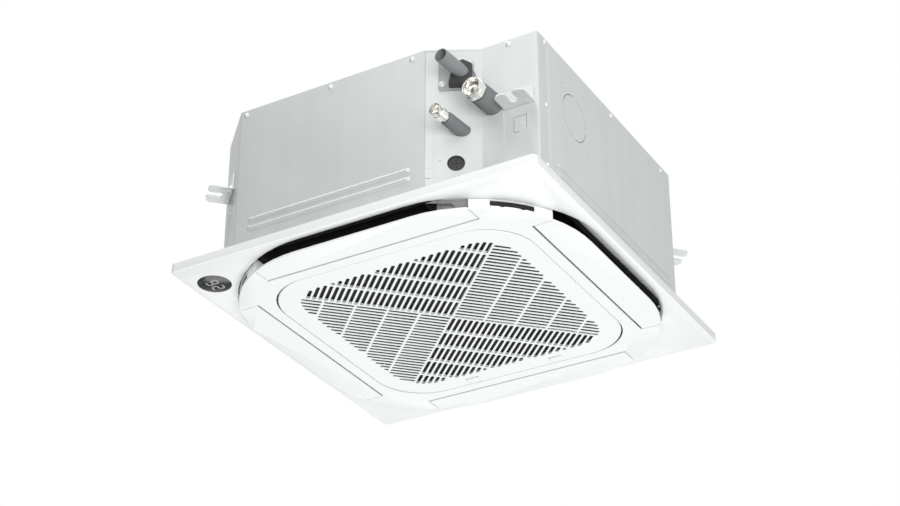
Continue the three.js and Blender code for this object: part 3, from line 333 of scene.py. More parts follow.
BEAD_Z = (53.3, 68.3)
SEAM = 0.65
JOGGLE = 1.5  # how far a sheet that laps under another is set back
plate = folded([(-HALF + MITRE, -FLAT - MITRE), (-FLAT, -HALF), (OBLIQUE[0], -HALF)], WALL_LOW, WALL_HIGH)
beads = [moved(bead(286), Matrix.Translation((-47.25, -HALF, z))) for z in BEAD_Z]
front = piece("cabinet_front", gather(plate, *beads), COATED)

START = RECESS_Y + 28
plate = folded([(HALF - JOGGLE, START - 16), (HALF - JOGGLE, START + 2), (HALF, START + 5), (HALF, FLAT),
                (FLAT + MITRE, HALF - MITRE)], WALL_LOW, WALL_HIGH)
# The fresh-air knock-out: a round cut broken by four bridges, and four dimples to start its screws.
ring = bmesh.new()
for quarter in range(4):
    arc = bmesh.new()
    strip = [arc.verts.new((36.4, 0, -3)), arc.verts.new((37.7, 0, -3)), arc.verts.new((37.7, 0, 3)),
             arc.verts.new((36.4, 0, 3))]
    face = arc.faces.new(strip)
    bmesh.ops.spin(arc, geom=[face, *face.edges, *face.verts], cent=(0, 0, 0), axis=(0, 0, 1),
                   angle=math.radians(90 * 0.86), steps=12)
    moved(arc, quarter_turn(quarter))
    ring = gather(ring, arc)
for side in (-1, 1):
    for up in (-1, 1):
        ring = gather(ring, rod((40 * side, 40 * up, -3), (40 * side, 40 * up, 3), 1.5, 16))
stand_up = Matrix(((0, 0, 1, 0), (1, 0, 0, 0), (0, 1, 0, 0), (0, 0, 0, 1)))
moved(ring, Matrix.Translation((HALF, -131.6, 182)), stand_up)
plate = less(plate, ring)
beads = [moved(bead(384), Matrix.Translation((HALF, 0, z)), quarter_turn(1)) for z in BEAD_Z]
right = piece("cabinet_right", gather(plate, *beads), COATED)

plate = folded([(FLAT - SEAM, HALF), (-FLAT + SEAM, HALF)], WALL_LOW, WALL_HIGH)
beads = [moved(bead(384), Matrix.Translation((0, HALF, z)), quarter_turn(2)) for z in BEAD_Z]
rear = piece("cabinet_rear", gather(plate, *beads), COATED)

plate = folded([(-FLAT - MITRE, HALF - MITRE), (-HALF, FLAT), (-HALF, -FLAT + SEAM)], WALL_LOW, WALL_HIGH)
beads = [moved(bead(384), Matrix.Translation((-HALF, 0, z)), quarter_turn(-1)) for z in BEAD_Z]
left = piece("cabinet_left", gather(plate, *beads), COATED)

for plate, node in ((front, "front"), (right, "right"), (rear, "rear"), (left, "left")):
    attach(plate, "unit")
    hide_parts("side_plate_" + node)

# ---- Pipe wall and its cover: pipe_plate, pipe_cover ----
# The corner behind the pipes is one more folded sheet, set 39 mm back from the front wall and wrapped
# round onto the right side under a joggled edge. A smaller plate closes it below the pipes.

PIPE_TURN = math.radians(5.5)
GAS = {"x": 213.0, "z": 162.0, "pipe": 7.9, "sleeve": 16.6, "nut": 15.6, "reach": 62.0, "bare": 22.0}
LIQUID = {"x": 167.0, "z": 126.0, "pipe": 3.2, "sleeve": 10.5, "nut": 9.2, "reach": 71.0, "bare": 30.0}
DRAIN = {"x": 172.5, "z": 222.0, "outer": 10.8, "bore": 9.4, "reach": 66.0}
CABLE = {"along": 45.0, "z": 70.0, "r": 12.0}
WALL_START = Vector((OBLIQUE[0], -HALF + JOGGLE, 0))
WALL_ALONG = (Vector((OBLIQUE[1], RECESS_Y, 0)) - WALL_START).normalized()
WALL_OUT = Vector((WALL_ALONG.y, -WALL_ALONG.x, 0))


def wall_y(x):
    """Y of the pipe wall's outer face at x."""
    return RECESS_Y if x > OBLIQUE[1] else WALL_START.y + (x - WALL_START.x) * WALL_ALONG.y / WALL_ALONG.x


def stub_point(stub, reach):
    """A point on a pipe's axis, so far outside the wall."""
    return Vector((stub["x"] - reach * math.sin(PIPE_TURN),
                   wall_y(stub["x"]) - reach * math.cos(PIPE_TURN), stub["z"]))


def on_wall(along, z, out=0.0):
    """Matrix whose X runs along the slanted wall, Y up and Z outwards, at a place on that wall."""
    spot = WALL_START + WALL_ALONG * along + WALL_OUT * out + Vector((0, 0, z))
    turn = Matrix((WALL_ALONG, (0, 0, 1), WALL_OUT)).transposed().to_4x4()
    return Matrix.Translation(spot) @ turn


def through_wall(stub, radius):
    """A cutter along a pipe's axis, where it passes the wall."""
    return rod(stub_point(stub, -30), stub_point(stub, 30), radius, 40)


def wall_holes(cable_r, vent_r, along, z):
    """Cutters for both sleeves, the cable bush and one small hole in the slanted wall."""
    return gather(through_wall(GAS, GAS["sleeve"] + 0.3), through_wall(LIQUID, LIQUID["sleeve"] + 0.3),
                  moved(rod((0, 0, -9), (0, 0, 9), cable_r, 40), on_wall(CABLE["along"], CABLE["z"])),
                  moved(rod((0, 0, -9), (0, 0, 9), vent_r, 16), on_wall(along, z)))


holes = gather(wall_holes(CABLE["r"], 1.9, 6.0, 62.0), moved(box(1.2, 7.6, -0.9, 0.9, -9, 9), on_wall(0, 46.3)))
drain_hole = through_wall(DRAIN, DRAIN["outer"] + 0.6)
plate = folded([(OBLIQUE[0] - 32, -HALF + JOGGLE), (OBLIQUE[0], -HALF + JOGGLE), (OBLIQUE[1], RECESS_Y),
                (HALF, RECESS_Y),
                (HALF, RECESS_Y + 28)], WALL_LOW, WALL_HIGH, radius=2.2)
plate = less(less(plate, holes), drain_hole)
# A lanced window beside the pipes: three sheared sides and a small lifted hook.
lance = gather(box(243.7, 244.6, -250, -240, 104, 130.6), box(243.7, 265.2, -250, -240, 129.7, 130.6),
               box(264.3, 265.2, -250, -240, 107, 130.6), box(243.7, 252, -250, -240, 104, 104.9),
               box(281.2, 283.0, -250, -240, 40.5, 45.5))
plate = less(plate, lance)
hook = box(251.2, 257.8, -247.2, -245.6, 113.6, 120.2, 0.5)
for corner in (c for c in hook.verts if c.co.z > 119):
    corner.co.x = 254.5 + (corner.co.x - 254.5) * 0.35
pipe_wall = piece("pipe_wall", gather(plate, hook), COATED)
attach(pipe_wall, "unit")
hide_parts("pipe_plate")

holes = wall_holes(CABLE["r"] + 0.3, 1.7, 21.3, 74.7)
off = WALL_OUT * JOGGLE
corner = Vector((OBLIQUE[1] + 0.37, RECESS_Y - JOGGLE, 0))
low_part = folded([(WALL_START + WALL_ALONG * 12.3 + off)[:2], corner[:2], (228, RECESS_Y - JOGGLE)], 24,
                  LIQUID["z"] + 3)
high_part = folded([(OBLIQUE[1] + 2, RECESS_Y - JOGGLE), (228, RECESS_Y - JOGGLE)], LIQUID["z"] + 2.9,
                   GAS["z"] - 4)
cover = less(gather(low_part, high_part), holes)
closure = piece("pipe_closure", cover, COATED)
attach(closure, "unit")
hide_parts("pipe_cover")

# ---- Lid: top_plate ----
# One pressed steel lid with a hemmed skirt inside the walls. A ring is pressed in round the fan motor
# and a rib runs from it to each corner, so the sheet doesn't drum.

LID_Z = 270.0
BODY_PLAN = [(-FLAT, -HALF), (OBLIQUE[0], -HALF), (OBLIQUE[1], RECESS_Y), (HALF, RECESS_Y), (HALF, FLAT),
             (FLAT, HALF), (-FLAT, HALF), (-HALF, FLAT), (-HALF, -FLAT)]


def slab(points, low, high, soft=0.0):
    """A flat plate of that plan, with its upright edges rounded by soft."""
    plan = bmesh.new()
    face = plan.faces.new([plan.verts.new((x, y, low)) for x, y in points])
    made = bmesh.ops.extrude_face_region(plan, geom=[face])
    bmesh.ops.translate(plan, verts=[v for v in made["geom"] if isinstance(v, bmesh.types.BMVert)],
                        vec=(0, 0, high - low))
    if soft:
        upright = [e for e in plan.edges if abs(e.verts[0].co.z - e.verts[1].co.z) > 1e-6]
        bmesh.ops.bevel(plan, geom=upright, offset=soft, segments=5, **ROUND_EDGES)
    return plan


def spun(profile, steps=64, closed=False):
    """A turned body: profile pairs are radius and height, on Z."""
    body = bmesh.new()
    points = [body.verts.new((r, 0, z)) for r, z in profile]
    pairs = list(zip(points, points[1:] + points[:1])) if closed else list(zip(points, points[1:]))
    rim = [body.edges.new(pair) for pair in pairs]
    bmesh.ops.spin(body, geom=[*points, *rim], cent=(0, 0, 0), axis=(0, 0, 1), angle=2 * math.pi, steps=steps,
                   use_merge=True)
    bmesh.ops.remove_doubles(body, verts=body.verts, dist=0.001)
    return body


def channel(length, width, deep):
    """A cutter for a pressed rib: a long round-ended trough along X, open at Z 0."""
    trough = slab([(-length / 2, -width / 2), (length / 2, -width / 2), (length / 2, width / 2),
                   (-length / 2, width / 2)], -deep, 1.0, width / 2 - 0.01)
    for v in trough.verts:
        if v.co.z < 0:
            v.co.x -= math.copysign(min(3.0, abs(v.co.x)), v.co.x)
            v.co.y *= 0.6
    return trough


lid = slab(BODY_PLAN, WALL_HIGH + 0.02, LID_Z, 2.4)
skirt = [(x * (HALF - 1.9) / HALF, y * (HALF - 1.9) / HALF) for x, y in BODY_PLAN]
lid = gather(lid, slab(skirt, LID_Z - 15, WALL_HIGH + 0.5, 2.4))
grooves = spun([(96, 1), (100, -3), (106, -3), (110, 1)], closed=True)
for quarter in range(4):
    rib = moved(channel(106, 14, 3), quarter_turn(quarter), Matrix.Rotation(math.radians(45), 4, "Z"),
                Matrix.Translation((190, 0, 0)))
    grooves = gather(grooves, rib)
lid = less(lid, moved(grooves, Matrix.Translation((0, 0, LID_Z))))
lid_piece = piece("cabinet_lid", lid, COATED)
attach(lid_piece, "unit")
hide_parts("top_plate")

# ---- Cabinet screws ----
# Thread-forming screws with a flange and a domed head, bright zinc, cross-recessed. They hold the
# walls to the lid, the pipe wall to the right side and the ears to their corners.

SCREW_R = 4.4


def screw():
    """One screw head standing on Z 0, its cross driven 1.6 mm deep."""
    head = spun([(0, 2.7), (1.2, 2.65), (2.3, 2.25), (2.9, 1.5), (3.1, 0.75), (SCREW_R - 0.2, 0.5),
                 (SCREW_R, 0.2), (SCREW_R, -0.4), (0, -0.4)], 28)
    cross = gather(box(-1.7, 1.7, -0.42, 0.42, 1.1, 4), box(-0.42, 0.42, -1.7, 1.7, 1.1, 4))
    return less(head, cross)


def facing(point, out):
    """Matrix that stands a part on a surface at a point, its Z along out."""
    return Matrix.Translation(Vector(point)) @ Vector(out).to_track_quat("Z", "Y").to_matrix().to_4x4()


def zinc_steel(name, dark, light):
    """Zinc plate on steel: light, slightly blue, with a crystal pattern about 4 mm wide."""
    made, tree, place = new_finish(name)
    spangle = add_node(tree, "TexVoronoi", {"Vector": place, "Scale": 260.0})
    colour = blend(tree, spangle.outputs["Distance"], light, dark)
    rough = add_node(tree, "MapRange", {"Value": spangle.outputs["Distance"], "To Min": 0.34, "To Max": 0.42})
    shader = tree.nodes["Principled BSDF"]
    shader.inputs["Metallic"].default_value = 0.35
    wire(tree, colour, rough)
    return made


ZINC = zinc_steel("bright_zinc_steel", "#DCDFDF", "#E3E5E5")
DIAGONAL = math.sqrt(0.5)
FRONT, RIGHT, REAR, LEFT = (0, -1, 0), (1, 0, 0), (0, 1, 0), (-1, 0, 0)
UNDER_LID = 261.5
SCREWS = [((x, -HALF, UNDER_LID), FRONT) for x in (-202.6, -48.5, 95.5)]
SCREWS += [((236.6, RECESS_Y, 262.5), FRONT)]
SCREWS += [((HALF, y, z), RIGHT)
           for y, z in ((-222, 263.5), (-222, 152.9), (-222, 51), (-1.3, UNDER_LID), (180.5, UNDER_LID))]
SCREWS += [((x, HALF, UNDER_LID), REAR) for x in (0, -180, 180)]
SCREWS += [((-HALF, y, UNDER_LID), LEFT) for y in (0, -180, 180)]
SCREWS += [((244 * x, 254 * y, 112), (DIAGONAL * x, DIAGONAL * y, 0)) for x, y in ((-1, -1), (-1, 1), (1, 1))]
heads = gather(*[moved(screw(), facing(point, out)) for point, out in SCREWS])
screws = piece("cabinet_screws", heads, ZINC)
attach(screws, "unit")

# ---- Hanger ears: hanger_front_left, hanger_rear_left, hanger_rear_right, hanger_front_right ----
# Four bright zinc brackets of 2.6 mm steel, bent to an L and riveted to the corners. Each ear is a
# fork: a threaded rod slides into its round seat, and two gussets stiffen the bend from below.

EAR = {"width": 48.0, "reach": 38.0, "slot": 11.4, "seat_y": 20.0, "seat_r": 7.2, "t": 2.6, "back": 27.0}
EAR_Z = 150.0


def ear_bracket():
    """A bracket on the wall plane Y 0 with its ear towards -Y, the ear's upper face at Z 0."""
    half, tip = EAR["width"] / 2, -EAR["reach"] - 0.3
    bent = folded([(EAR["back"], -0.3), (-EAR["t"], -0.3), (-EAR["t"], tip)], -half, half, EAR["t"], 1.6)
    moved(bent, Matrix(((0, 0, 1, 0), (0, 1, 0, 0), (1, 0, 0, 0), (0, 0, 0, 1))))
    slot = gather(box(-EAR["slot"] / 2, EAR["slot"] / 2, tip - 2, -EAR["seat_y"], -6, 4),
                  rod((0, -EAR["seat_y"], -6), (0, -EAR["seat_y"], 4), EAR["seat_r"], 40))
    bent = less(bent, slot)
    for edge_x, offset in ((half, 9.0), (EAR["slot"] / 2, 5.0)):
        tips = [e for e in bent.edges if abs(e.verts[0].co.z - e.verts[1].co.z) > 1
                and all(v.co.y < tip + 1 and abs(abs(v.co.x) - edge_x) < 0.5 for v in e.verts)]
        bmesh.ops.bevel(bent, geom=tips, offset=offset, segments=6, **ROUND_EDGES)
    ribs = []
    for x in (-15, 15):
        rib = slab([(x - 3.2, -EAR["t"]), (x + 3.2, -EAR["t"]), (x, -EAR["t"] - 10)], -EAR["t"] - 0.6, -0.4)
        for v in rib.verts:
            if v.co.z > -1:
                v.co = (x + (v.co.x - x) * 0.35, max(v.co.y, -EAR["t"] - 1.2), 8.6)
        ribs.append(rib)
    return gather(bent, *ribs)


EARS = {"front_left": (-249, -249, -45), "rear_left": (-249, 249, -135), "rear_right": (249, 249, 135),
        "front_right": (254, RECESS_Y, 0)}
for corner, (x, y, degrees) in EARS.items():
    bracket = moved(ear_bracket(), Matrix.Translation((x, y, EAR_Z)),
                    Matrix.Rotation(math.radians(degrees), 4, "Z"))
    ear = piece("ear_" + corner, bracket, ZINC, 40)
    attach(ear, "unit")
    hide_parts("hanger_" + corner)

# ---- Pipe stubs: gas_sleeve, gas_flare_nut, liquid_sleeve, liquid_flare_nut, drain_pipe ----
# Two copper tubes leave the wall in sleeves of closed-cell foam and end in forged flare nuts with open
# coned mouths. The drain above them is a plain grey PVC tube that a hose is pushed over.


def out_of_wall(stub, reach):
    """Matrix whose Z runs out along a stub, starting so far from the wall."""
    return facing(stub_point(stub, reach), (-math.sin(PIPE_TURN), -math.cos(PIPE_TURN), 0))


def foam_rubber():
    """Closed-cell pipe foam: matt grey with a skin full of cells about half a millimetre wide."""
    made, tree, place = new_finish("closed_cell_pipe_foam")
    cells = add_node(tree, "TexVoronoi", {"Vector": place, "Scale": 1800.0})
    cloud = add_node(tree, "TexNoise", {"Vector": place, "Scale": 60.0, "Detail": 3.0})
    colour = blend(tree, cloud.outputs["Fac"], "#6B6E6E", "#7E8181")
    bump = add_node(tree, "Bump", {"Height": cells.outputs["Distance"], "Strength": 0.25, "Distance": 0.0002})
    shader = tree.nodes["Principled BSDF"]
    shader.inputs["Roughness"].default_value = 0.78
    wire(tree, colour, bump=bump)
    return made


def nickel_brass():
    """Nickel-washed forged brass: a warm light metal, turned, so fine rings run round it."""
    made, tree, place = new_finish("nickel_washed_brass")
    ring = add_node(tree, "TexNoise", {"Vector": place, "Scale": 700.0, "Detail": 2.0})
    colour = blend(tree, ring.outputs["Fac"], "#DDDBD3", "#F1F0EC")
    rough = add_node(tree, "MapRange", {"Value": ring.outputs["Fac"], "To Min": 0.16, "To Max": 0.3})
    shader = tree.nodes["Principled BSDF"]
    shader.inputs["Metallic"].default_value = 0.85
    wire(tree, colour, rough)
    return made


def dull_plastic(name, dark, light, roughness):
    """A moulded plastic with a faint cloud in its tone and a fine spark-eroded grain."""
    made, tree, place = new_finish(name)
    cloud = add_node(tree, "TexNoise", {"Vector": place, "Scale": 30.0, "Detail": 4.0})
    grain = add_node(tree, "TexNoise", {"Vector": place, "Scale": 2600.0, "Detail": 2.0})
    colour = blend(tree, cloud.outputs["Fac"], dark, light)
    rough = add_node(tree, "MapRange", {"Value": cloud.outputs["Fac"], "To Min": roughness - 0.05,
                                        "To Max": roughness + 0.05})
    bump = add_node(tree, "Bump", {"Height": grain.outputs["Fac"], "Strength": 0.06, "Distance": 0.0001})
    wire(tree, colour, rough, bump)
    return made


FOAM_RUBBER = foam_rubber()
NICKEL = nickel_brass()
GREY_PVC = dull_plastic("grey_pvc", "#7F8283", "#8D9091", 0.42)
BLACK_ABS = dull_plastic("black_abs", "#2B2C2D", "#353637", 0.5)


def sleeve(stub):
    """A foam tube over the pipe, its mouth rounded."""
    outer, inner, end = stub["sleeve"], stub["pipe"] + 0.5, stub["reach"] - stub["bare"]
    return spun([(inner, -10), (outer, -10), (outer, end - 1.4), (outer - 0.4, end - 0.5), (outer - 1.4, end),
                 (inner + 0.5, end), (inner, end - 0.5)], 48, closed=True)


def flare_nut(stub):
    """A hexagon behind a round collar, with a coned mouth and the tube's sealing bonnet inside it."""
    nut, length = stub["nut"], stub["bare"] - 2
    shell = spun([(stub["pipe"] + 0.4, 0), (nut * 0.78, 0), (nut * 0.8, 0.5), (nut * 0.8, length * 0.16),
                  (nut * 1.1, length * 0.24), (nut * 1.1, length * 0.62), (nut * 0.97, length * 0.66),
                  (nut, length * 0.7), (nut, length * 0.94), (nut * 0.97, length), (nut * 0.9, length),
                  (nut * 0.86, length * 0.95), (nut * 0.74, length * 0.62),
                  (stub["pipe"] + 0.4, length * 0.5)],
                 48, closed=True)
    outside = spun([(nut, -2), (60, -2), (60, length * 0.64), (nut, length * 0.64)], 48, closed=True)
    hexagon = spun([(0, -4), (nut * 1.13, -4), (nut * 1.13, length), (0, length)], 6)
    bonnet = spun([(0, length * 0.7), (nut * 0.3, length * 0.68), (nut * 0.5, length * 0.6),
                   (nut * 0.74, length * 0.64), (nut * 0.74, length * 0.55), (0, length * 0.55)], 40)
    return gather(less(shell, less(outside, hexagon)), bonnet)


for name, stub in (("gas", GAS), ("liquid", LIQUID)):
    foam = piece(name + "_foam_sleeve", moved(sleeve(stub), out_of_wall(stub, 0)), FOAM_RUBBER)
    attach(foam, "unit")
    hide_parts(name + "_sleeve")
    nut = piece(name + "_union_nut", moved(flare_nut(stub),
                                           out_of_wall(stub, stub["reach"] - stub["bare"] + 1.6)),
                NICKEL, 28)
    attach(nut, "unit")
    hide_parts(name + "_flare_nut")

tube = spun([(DRAIN["bore"], -12), (DRAIN["outer"], -12), (DRAIN["outer"], DRAIN["reach"] - 0.8),
             (DRAIN["outer"] - 0.4, DRAIN["reach"]), (DRAIN["bore"] + 0.3, DRAIN["reach"]),
             (DRAIN["bore"], DRAIN["reach"] - 0.4)], 48, closed=True)
drain = piece("drain_stub", moved(tube, out_of_wall(DRAIN, 0)), GREY_PVC)
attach(drain, "unit")
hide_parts("drain_pipe")

# ---- Drain clamp and cable bush: drain_clamp_plate, drain_socket, cable_bush ----
# A zinc plate with two bolts pulls a black rubber socket tight round the drain tube. The cable hole
# below has a rubber bush with a split membrane, so nothing shows through it.

bore = moved(rod((0, 0, -20), (0, 0, 90), DRAIN["outer"] + 0.6, 40), out_of_wall(DRAIN, -10))
plate = moved(slab([(-26, -26), (26, -26), (26, 26), (-26, 26)], 0, 2, 4), on_wall(45.3, DRAIN["z"], 0.3))
bore_again = moved(rod((0, 0, -20), (0, 0, 90), DRAIN["outer"] + 0.6, 40), out_of_wall(DRAIN, -10))
# The clamp gets a darker copy of the zinc, painted with the shade of the pipe recess it sits in.
clamp = piece("drain_clamp", less(plate, bore), zinc_steel("zinc_steel_painted_shade", "#9EA2A2", "#A9ADAD"))
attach(clamp, "unit")
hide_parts("drain_clamp_plate")
collar = moved(slab([(-11, -22), (24, -22), (24, 12), (10, 20), (-4, 12)], 2.3, 15.5, 2),
               on_wall(45.3, DRAIN["z"], 0.3))
boot = piece("drain_boot", less(collar, bore_again), BLACK_ABS)
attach(boot, "unit")
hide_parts("drain_socket")
bolts = gather(*[moved(screw(), on_wall(along, z, 2.6)) for along, z in ((65.5, 243.1), (24.2, 207.2))])
clamp_bolts = piece("drain_clamp_bolts", bolts, ZINC)
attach(clamp_bolts, "unit")

r = CABLE["r"]
grommet = spun([(0, 0.4), (r - 1.0, 0.2), (r - 0.6, 1.2), (r - 0.4, 2.6), (r + 0.4, 2.9), (r + 0.8, 2.5),
                (r + 0.8, 1.8), (r - 0.3, 1.7), (r - 0.4, -2.2), (r - 1.2, -2.4), (r - 1.6, -0.4), (0, -0.4)],
                48)
split = gather(box(-8, 8, -0.25, 0.25, -2, 2), box(-0.25, 0.25, -8, 8, -2, 2))
bush = piece("cable_grommet", moved(less(grommet, split), on_wall(CABLE["along"], CABLE["z"])), BLACK_ABS)
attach(bush, "unit")
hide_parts("cable_bush")

# ---- Panel frame: panel_frame ----
# One injection-moulded square of white ABS with a raised edge. Its underside curves up smoothly into
# the air outlets at mid-side and stays flat at the corners, and the display window is let into it.

PANEL, CORNER_R, LIP, SKIN = 310.0, 9.0, 14.0, 2.2
THROAT_DIAGONAL = 234.0
DISPLAY = {"x": -271.0, "y": -248.5, "r": 26.0}


def white_abs():
    """White ABS: nearly white, satin, with a very fine grain that breaks up the highlights."""
    made, tree, place = new_finish("white_abs")
    cloud = add_node(tree, "TexNoise", {"Vector": place, "Scale": 5.0, "Detail": 3.0})
    colour = blend(tree, cloud.outputs["Fac"], "#EEEFEF", "#F3F4F4")
    rough = add_node(tree, "MapRange", {"Value": cloud.outputs["Fac"], "To Min": 0.42, "To Max": 0.5})
    grain = add_node(tree, "TexNoise", {"Vector": place, "Scale": 2400.0, "Detail": 2.0})
    bump = add_node(tree, "Bump", {"Height": grain.outputs["Fac"], "Strength": 0.05, "Distance": 0.0001})
    wire(tree, colour, rough, bump)
    return made


WHITE = white_abs()


ROUND_CORNERS = {"profile": 0.5, "affect": "VERTICES", "clamp_overlap": True, "material": -1}


def square_ring(half, radius, z, segments=14):
    """The outline of a rounded square, as edges only."""
    ring = bmesh.new()
    bmesh.ops.create_grid(ring, x_segments=1, y_segments=1, size=half)
    bmesh.ops.bevel(ring, geom=ring.verts[:], offset=radius, segments=segments, **ROUND_CORNERS)
    bmesh.ops.delete(ring, geom=ring.faces[:], context="FACES_ONLY")
    bmesh.ops.translate(ring, verts=ring.verts, vec=(0, 0, z))
    return ring


def lofted(rings, closed=True):
    """A skin through outlines with equal counts, closing on the first if closed."""
    rings = list(rings)
    bands = []
    for first, second in zip(rings, rings[1:] + rings[:1] if closed else rings[1:]):
        band = gather(first.copy(), second.copy())
        bmesh.ops.bridge_loops(band, edges=band.edges[:])
        bands.append(band)
    skin = gather(*bands)
    bmesh.ops.remove_doubles(skin, verts=skin.verts, dist=0.0005)
    for ring in rings:
        ring.free()
    return skin


def throat(half, out, z):
    """An outline of the air throat: every one passes the same point on the diagonal."""
    return square_ring(half + out, (half - THROAT_DIAGONAL) / (1 - DIAGONAL) + out, z)


def block(*rings):
    """A solid through outlines with equal counts, with a flat face over the first and the last."""
    skin = lofted(rings, closed=False)
    bmesh.ops.edgeloop_fill(skin, edges=[e for e in skin.edges if e.is_boundary])
    return skin


tray = block(*[square_ring(PANEL - inset, CORNER_R - less_r, z)
               for inset, less_r, z in ((1.5, 1, 0), (0.4, 0, 0.5), (0, 0, 1.5), (0, 0, LIP), (SKIN, SKIN, LIP),
                                        (SKIN, SKIN, SKIN + 0.6))])
collar = block(*[throat(half, out, z)
                 for half, out, z in ((299, 1.5, SKIN), (299, 1.5, SKIN + 0.6), (293, 1.8, 5.8),
                                      (289.5, 1.8, 8.4), (286.8, 1.6, 9.5))])
opening = block(*[throat(half, 0, z)
                  for half, z in ((305.5, -1), (305.5, 0), (303, 0.3), (299, 1.1), (295, 2.4), (291.5, 4.3),
                                  (289, 6.6), (287.4, 8.6), (286.8, 9.5), (286.8, 11))])
window = rod((DISPLAY["x"], DISPLAY["y"], -2), (DISPLAY["x"], DISPLAY["y"], 6), DISPLAY["r"] + 0.3, 64)
frame_skin = less(less(less(tray, collar, "UNION"), opening), window)
panel = piece("ceiling_panel", frame_skin, WHITE, 30)
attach(panel, "unit")
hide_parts("panel_frame")

# ---- Centre frame, flaps and their motors ----
# The centre of the panel is a second white moulding that carries the four flaps on pins and the
# intake's opening. The parts keep the drawn shapes, with their edges eased as a mould leaves them.


def softened(node, name, finish, ease=0.35, sharp=28, stub=None):
    """A CAD node's own shape with its triangles merged and its edges rounded by ease millimetres. A tube
    that ends in a stub stops short of the nut's mouth."""
    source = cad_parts[node]
    part = bmesh.new()
    part.from_mesh(source.data)
    moved(part, TO_FRAME.inverted() @ source.matrix_world)
    bmesh.ops.remove_doubles(part, verts=part.verts, dist=0.01)
    if stub:
        kept = bmesh.ops.bisect_plane(part, geom=[*part.verts, *part.edges, *part.faces], clear_outer=True,
                                      plane_co=stub_point(stub, stub["reach"] - stub["bare"] * 0.5),
                                      plane_no=(-math.sin(PIPE_TURN), -math.cos(PIPE_TURN), 0))
        bmesh.ops.holes_fill(part, edges=[e for e in kept["geom_cut"] if isinstance(e, bmesh.types.BMEdge)],
                             sides=0)
    made = piece(name, part, finish, sharp)
    if ease:
        rounding = made.modifiers.new("eased edges", "BEVEL")
        rounding.width, rounding.segments, rounding.limit_method = ease / 1000, 2, "ANGLE"
        rounding.angle_limit = math.radians(40)
        rounding.harden_normals = True
    return made


centre = softened("centre_frame", "outlet_frame", WHITE)
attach(centre, "unit")
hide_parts("centre_frame")
for side in ("front", "right", "rear", "left"):
    blade = softened("flap_" + side, "air_flap_" + side, WHITE)
    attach(blade, "flap_" + side)
    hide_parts("flap_" + side)
    motor = softened("flap_motor_" + side, "flap_gear_motor_" + side, BLACK_ABS)
    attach(motor, "unit")
    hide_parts("flap_motor_" + side)

# ---- Intake grille: intake_grille ----
# The hinged door of the panel, one flat moulding. Its slots run across each other in four quarters, in
# rows of round-ended slots with narrow flush bars between them; two hinge eyes and a low rim are behind.

INTAKE_HALF, INTAKE_R, FACE, GRILLE_T = 216.3, 85.0, -15.0, 1.0
FIELD_HALF, FIELD_R = 186.0, 62.0
PITCH, SLOT, BAR, ROW = 9.3, 6.0, 2.6, 50.5
RIM_TOP = -8.0
EYE_X, LATCH_X = (-110, 110), (-76, 76)
EYE_AXIS = (-200, -12.2)


def in_field(x, y):
    """Whether a place is inside the rounded square that the slots fill."""
    ax, ay = abs(x) - (FIELD_HALF - FIELD_R), abs(y) - (FIELD_HALF - FIELD_R)
    return math.hypot(ax, ay) < FIELD_R if ax > 0 and ay > 0 else max(ax, ay) < FIELD_R


def on_diagonal(along, across):
    """X and Y of a place measured along and across the (1, 1) diagonal."""
    return (along + across) * DIAGONAL, (along - across) * DIAGONAL


def slot_places():
    """Start, end and offset of each slot in one quarter, along the diagonal."""
    across = SLOT / 2 + BAR / 2
    while across < 1.42 * FIELD_HALF:
        reach = 0.0
        while all(in_field(*on_diagonal(reach + 1, across + side)) for side in (-SLOT / 2, SLOT / 2)):
            reach += 1
        for row in range(6):
            near, far = row * ROW + BAR / 2, min((row + 1) * ROW - BAR / 2, reach)
            if far - near > SLOT + 0.5:
                yield near, far, across
        across += PITCH


def capsule(near, far, across):
    """A round-ended cutter for one slot, along the diagonal."""
    cutter = rod((0, 0, FACE - 1), (0, 0, FACE + GRILLE_T + 1), SLOT / 2, 16)
    for v in cutter.verts:
        v.co.x += (far - SLOT / 2 if v.co.x > 0.001 else near + SLOT / 2)
    return moved(cutter, Matrix.Rotation(math.radians(45), 4, "Z"), Matrix.Translation((0, -across, 0)))


def intake_ring(inset, z):
    """The intake's own outline, so far inside its edge."""
    return square_ring(INTAKE_HALF - inset, INTAKE_R - inset, z)


slots = [moved(capsule(*place), quarter_turn(quarter)) for quarter in range(4) for place in slot_places()]
gates = [box(x - 11.5, x + 11.5, 195.5, 212.5, FACE - 1, FACE + GRILLE_T + 1) for x in LATCH_X]
sheet = block(intake_ring(1.2, FACE), intake_ring(1.2, FACE + GRILLE_T))
sheet = less(sheet, gather(*slots, *gates), solver="MANIFOLD")
rim = lofted([intake_ring(inset, z)
              for inset, z in ((1.2, FACE), (0.3, FACE + 0.4), (0, FACE + 1.2), (0, RIM_TOP), (2.4, RIM_TOP),
                               (2.4, FACE + 2.4), (1.2, FACE + 1.4))])
eye_gaps = [box(x - 13, x + 13, -INTAKE_HALF - 2, -INTAKE_HALF + 3, FACE + GRILLE_T, 0) for x in EYE_X]
latch_gaps = [box(x - 7, x + 7, INTAKE_HALF - 3.5, INTAKE_HALF + 2, FACE + GRILLE_T, RIM_TOP - 1)
              for x in LATCH_X]
rim = less(rim, gather(*eye_gaps, *latch_gaps))
eyes = [less(rod((x - 6, *EYE_AXIS), (x + 6, *EYE_AXIS), 2.3, 20),
             rod((x - 7, *EYE_AXIS), (x + 7, *EYE_AXIS), 1.2, 16))
        for x in EYE_X]
door = piece("intake_door", gather(sheet, rim, *eyes), WHITE, 30)
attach(door, "door")
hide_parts("intake_grille")

# ---- Grille ribs and press latches: grille_ribs, latch_left, latch_right ----
# The ribs behind the slots tie the quarters together. Each latch is a white button in the face, with
# a tongue behind it that slides in under the frame's edge.

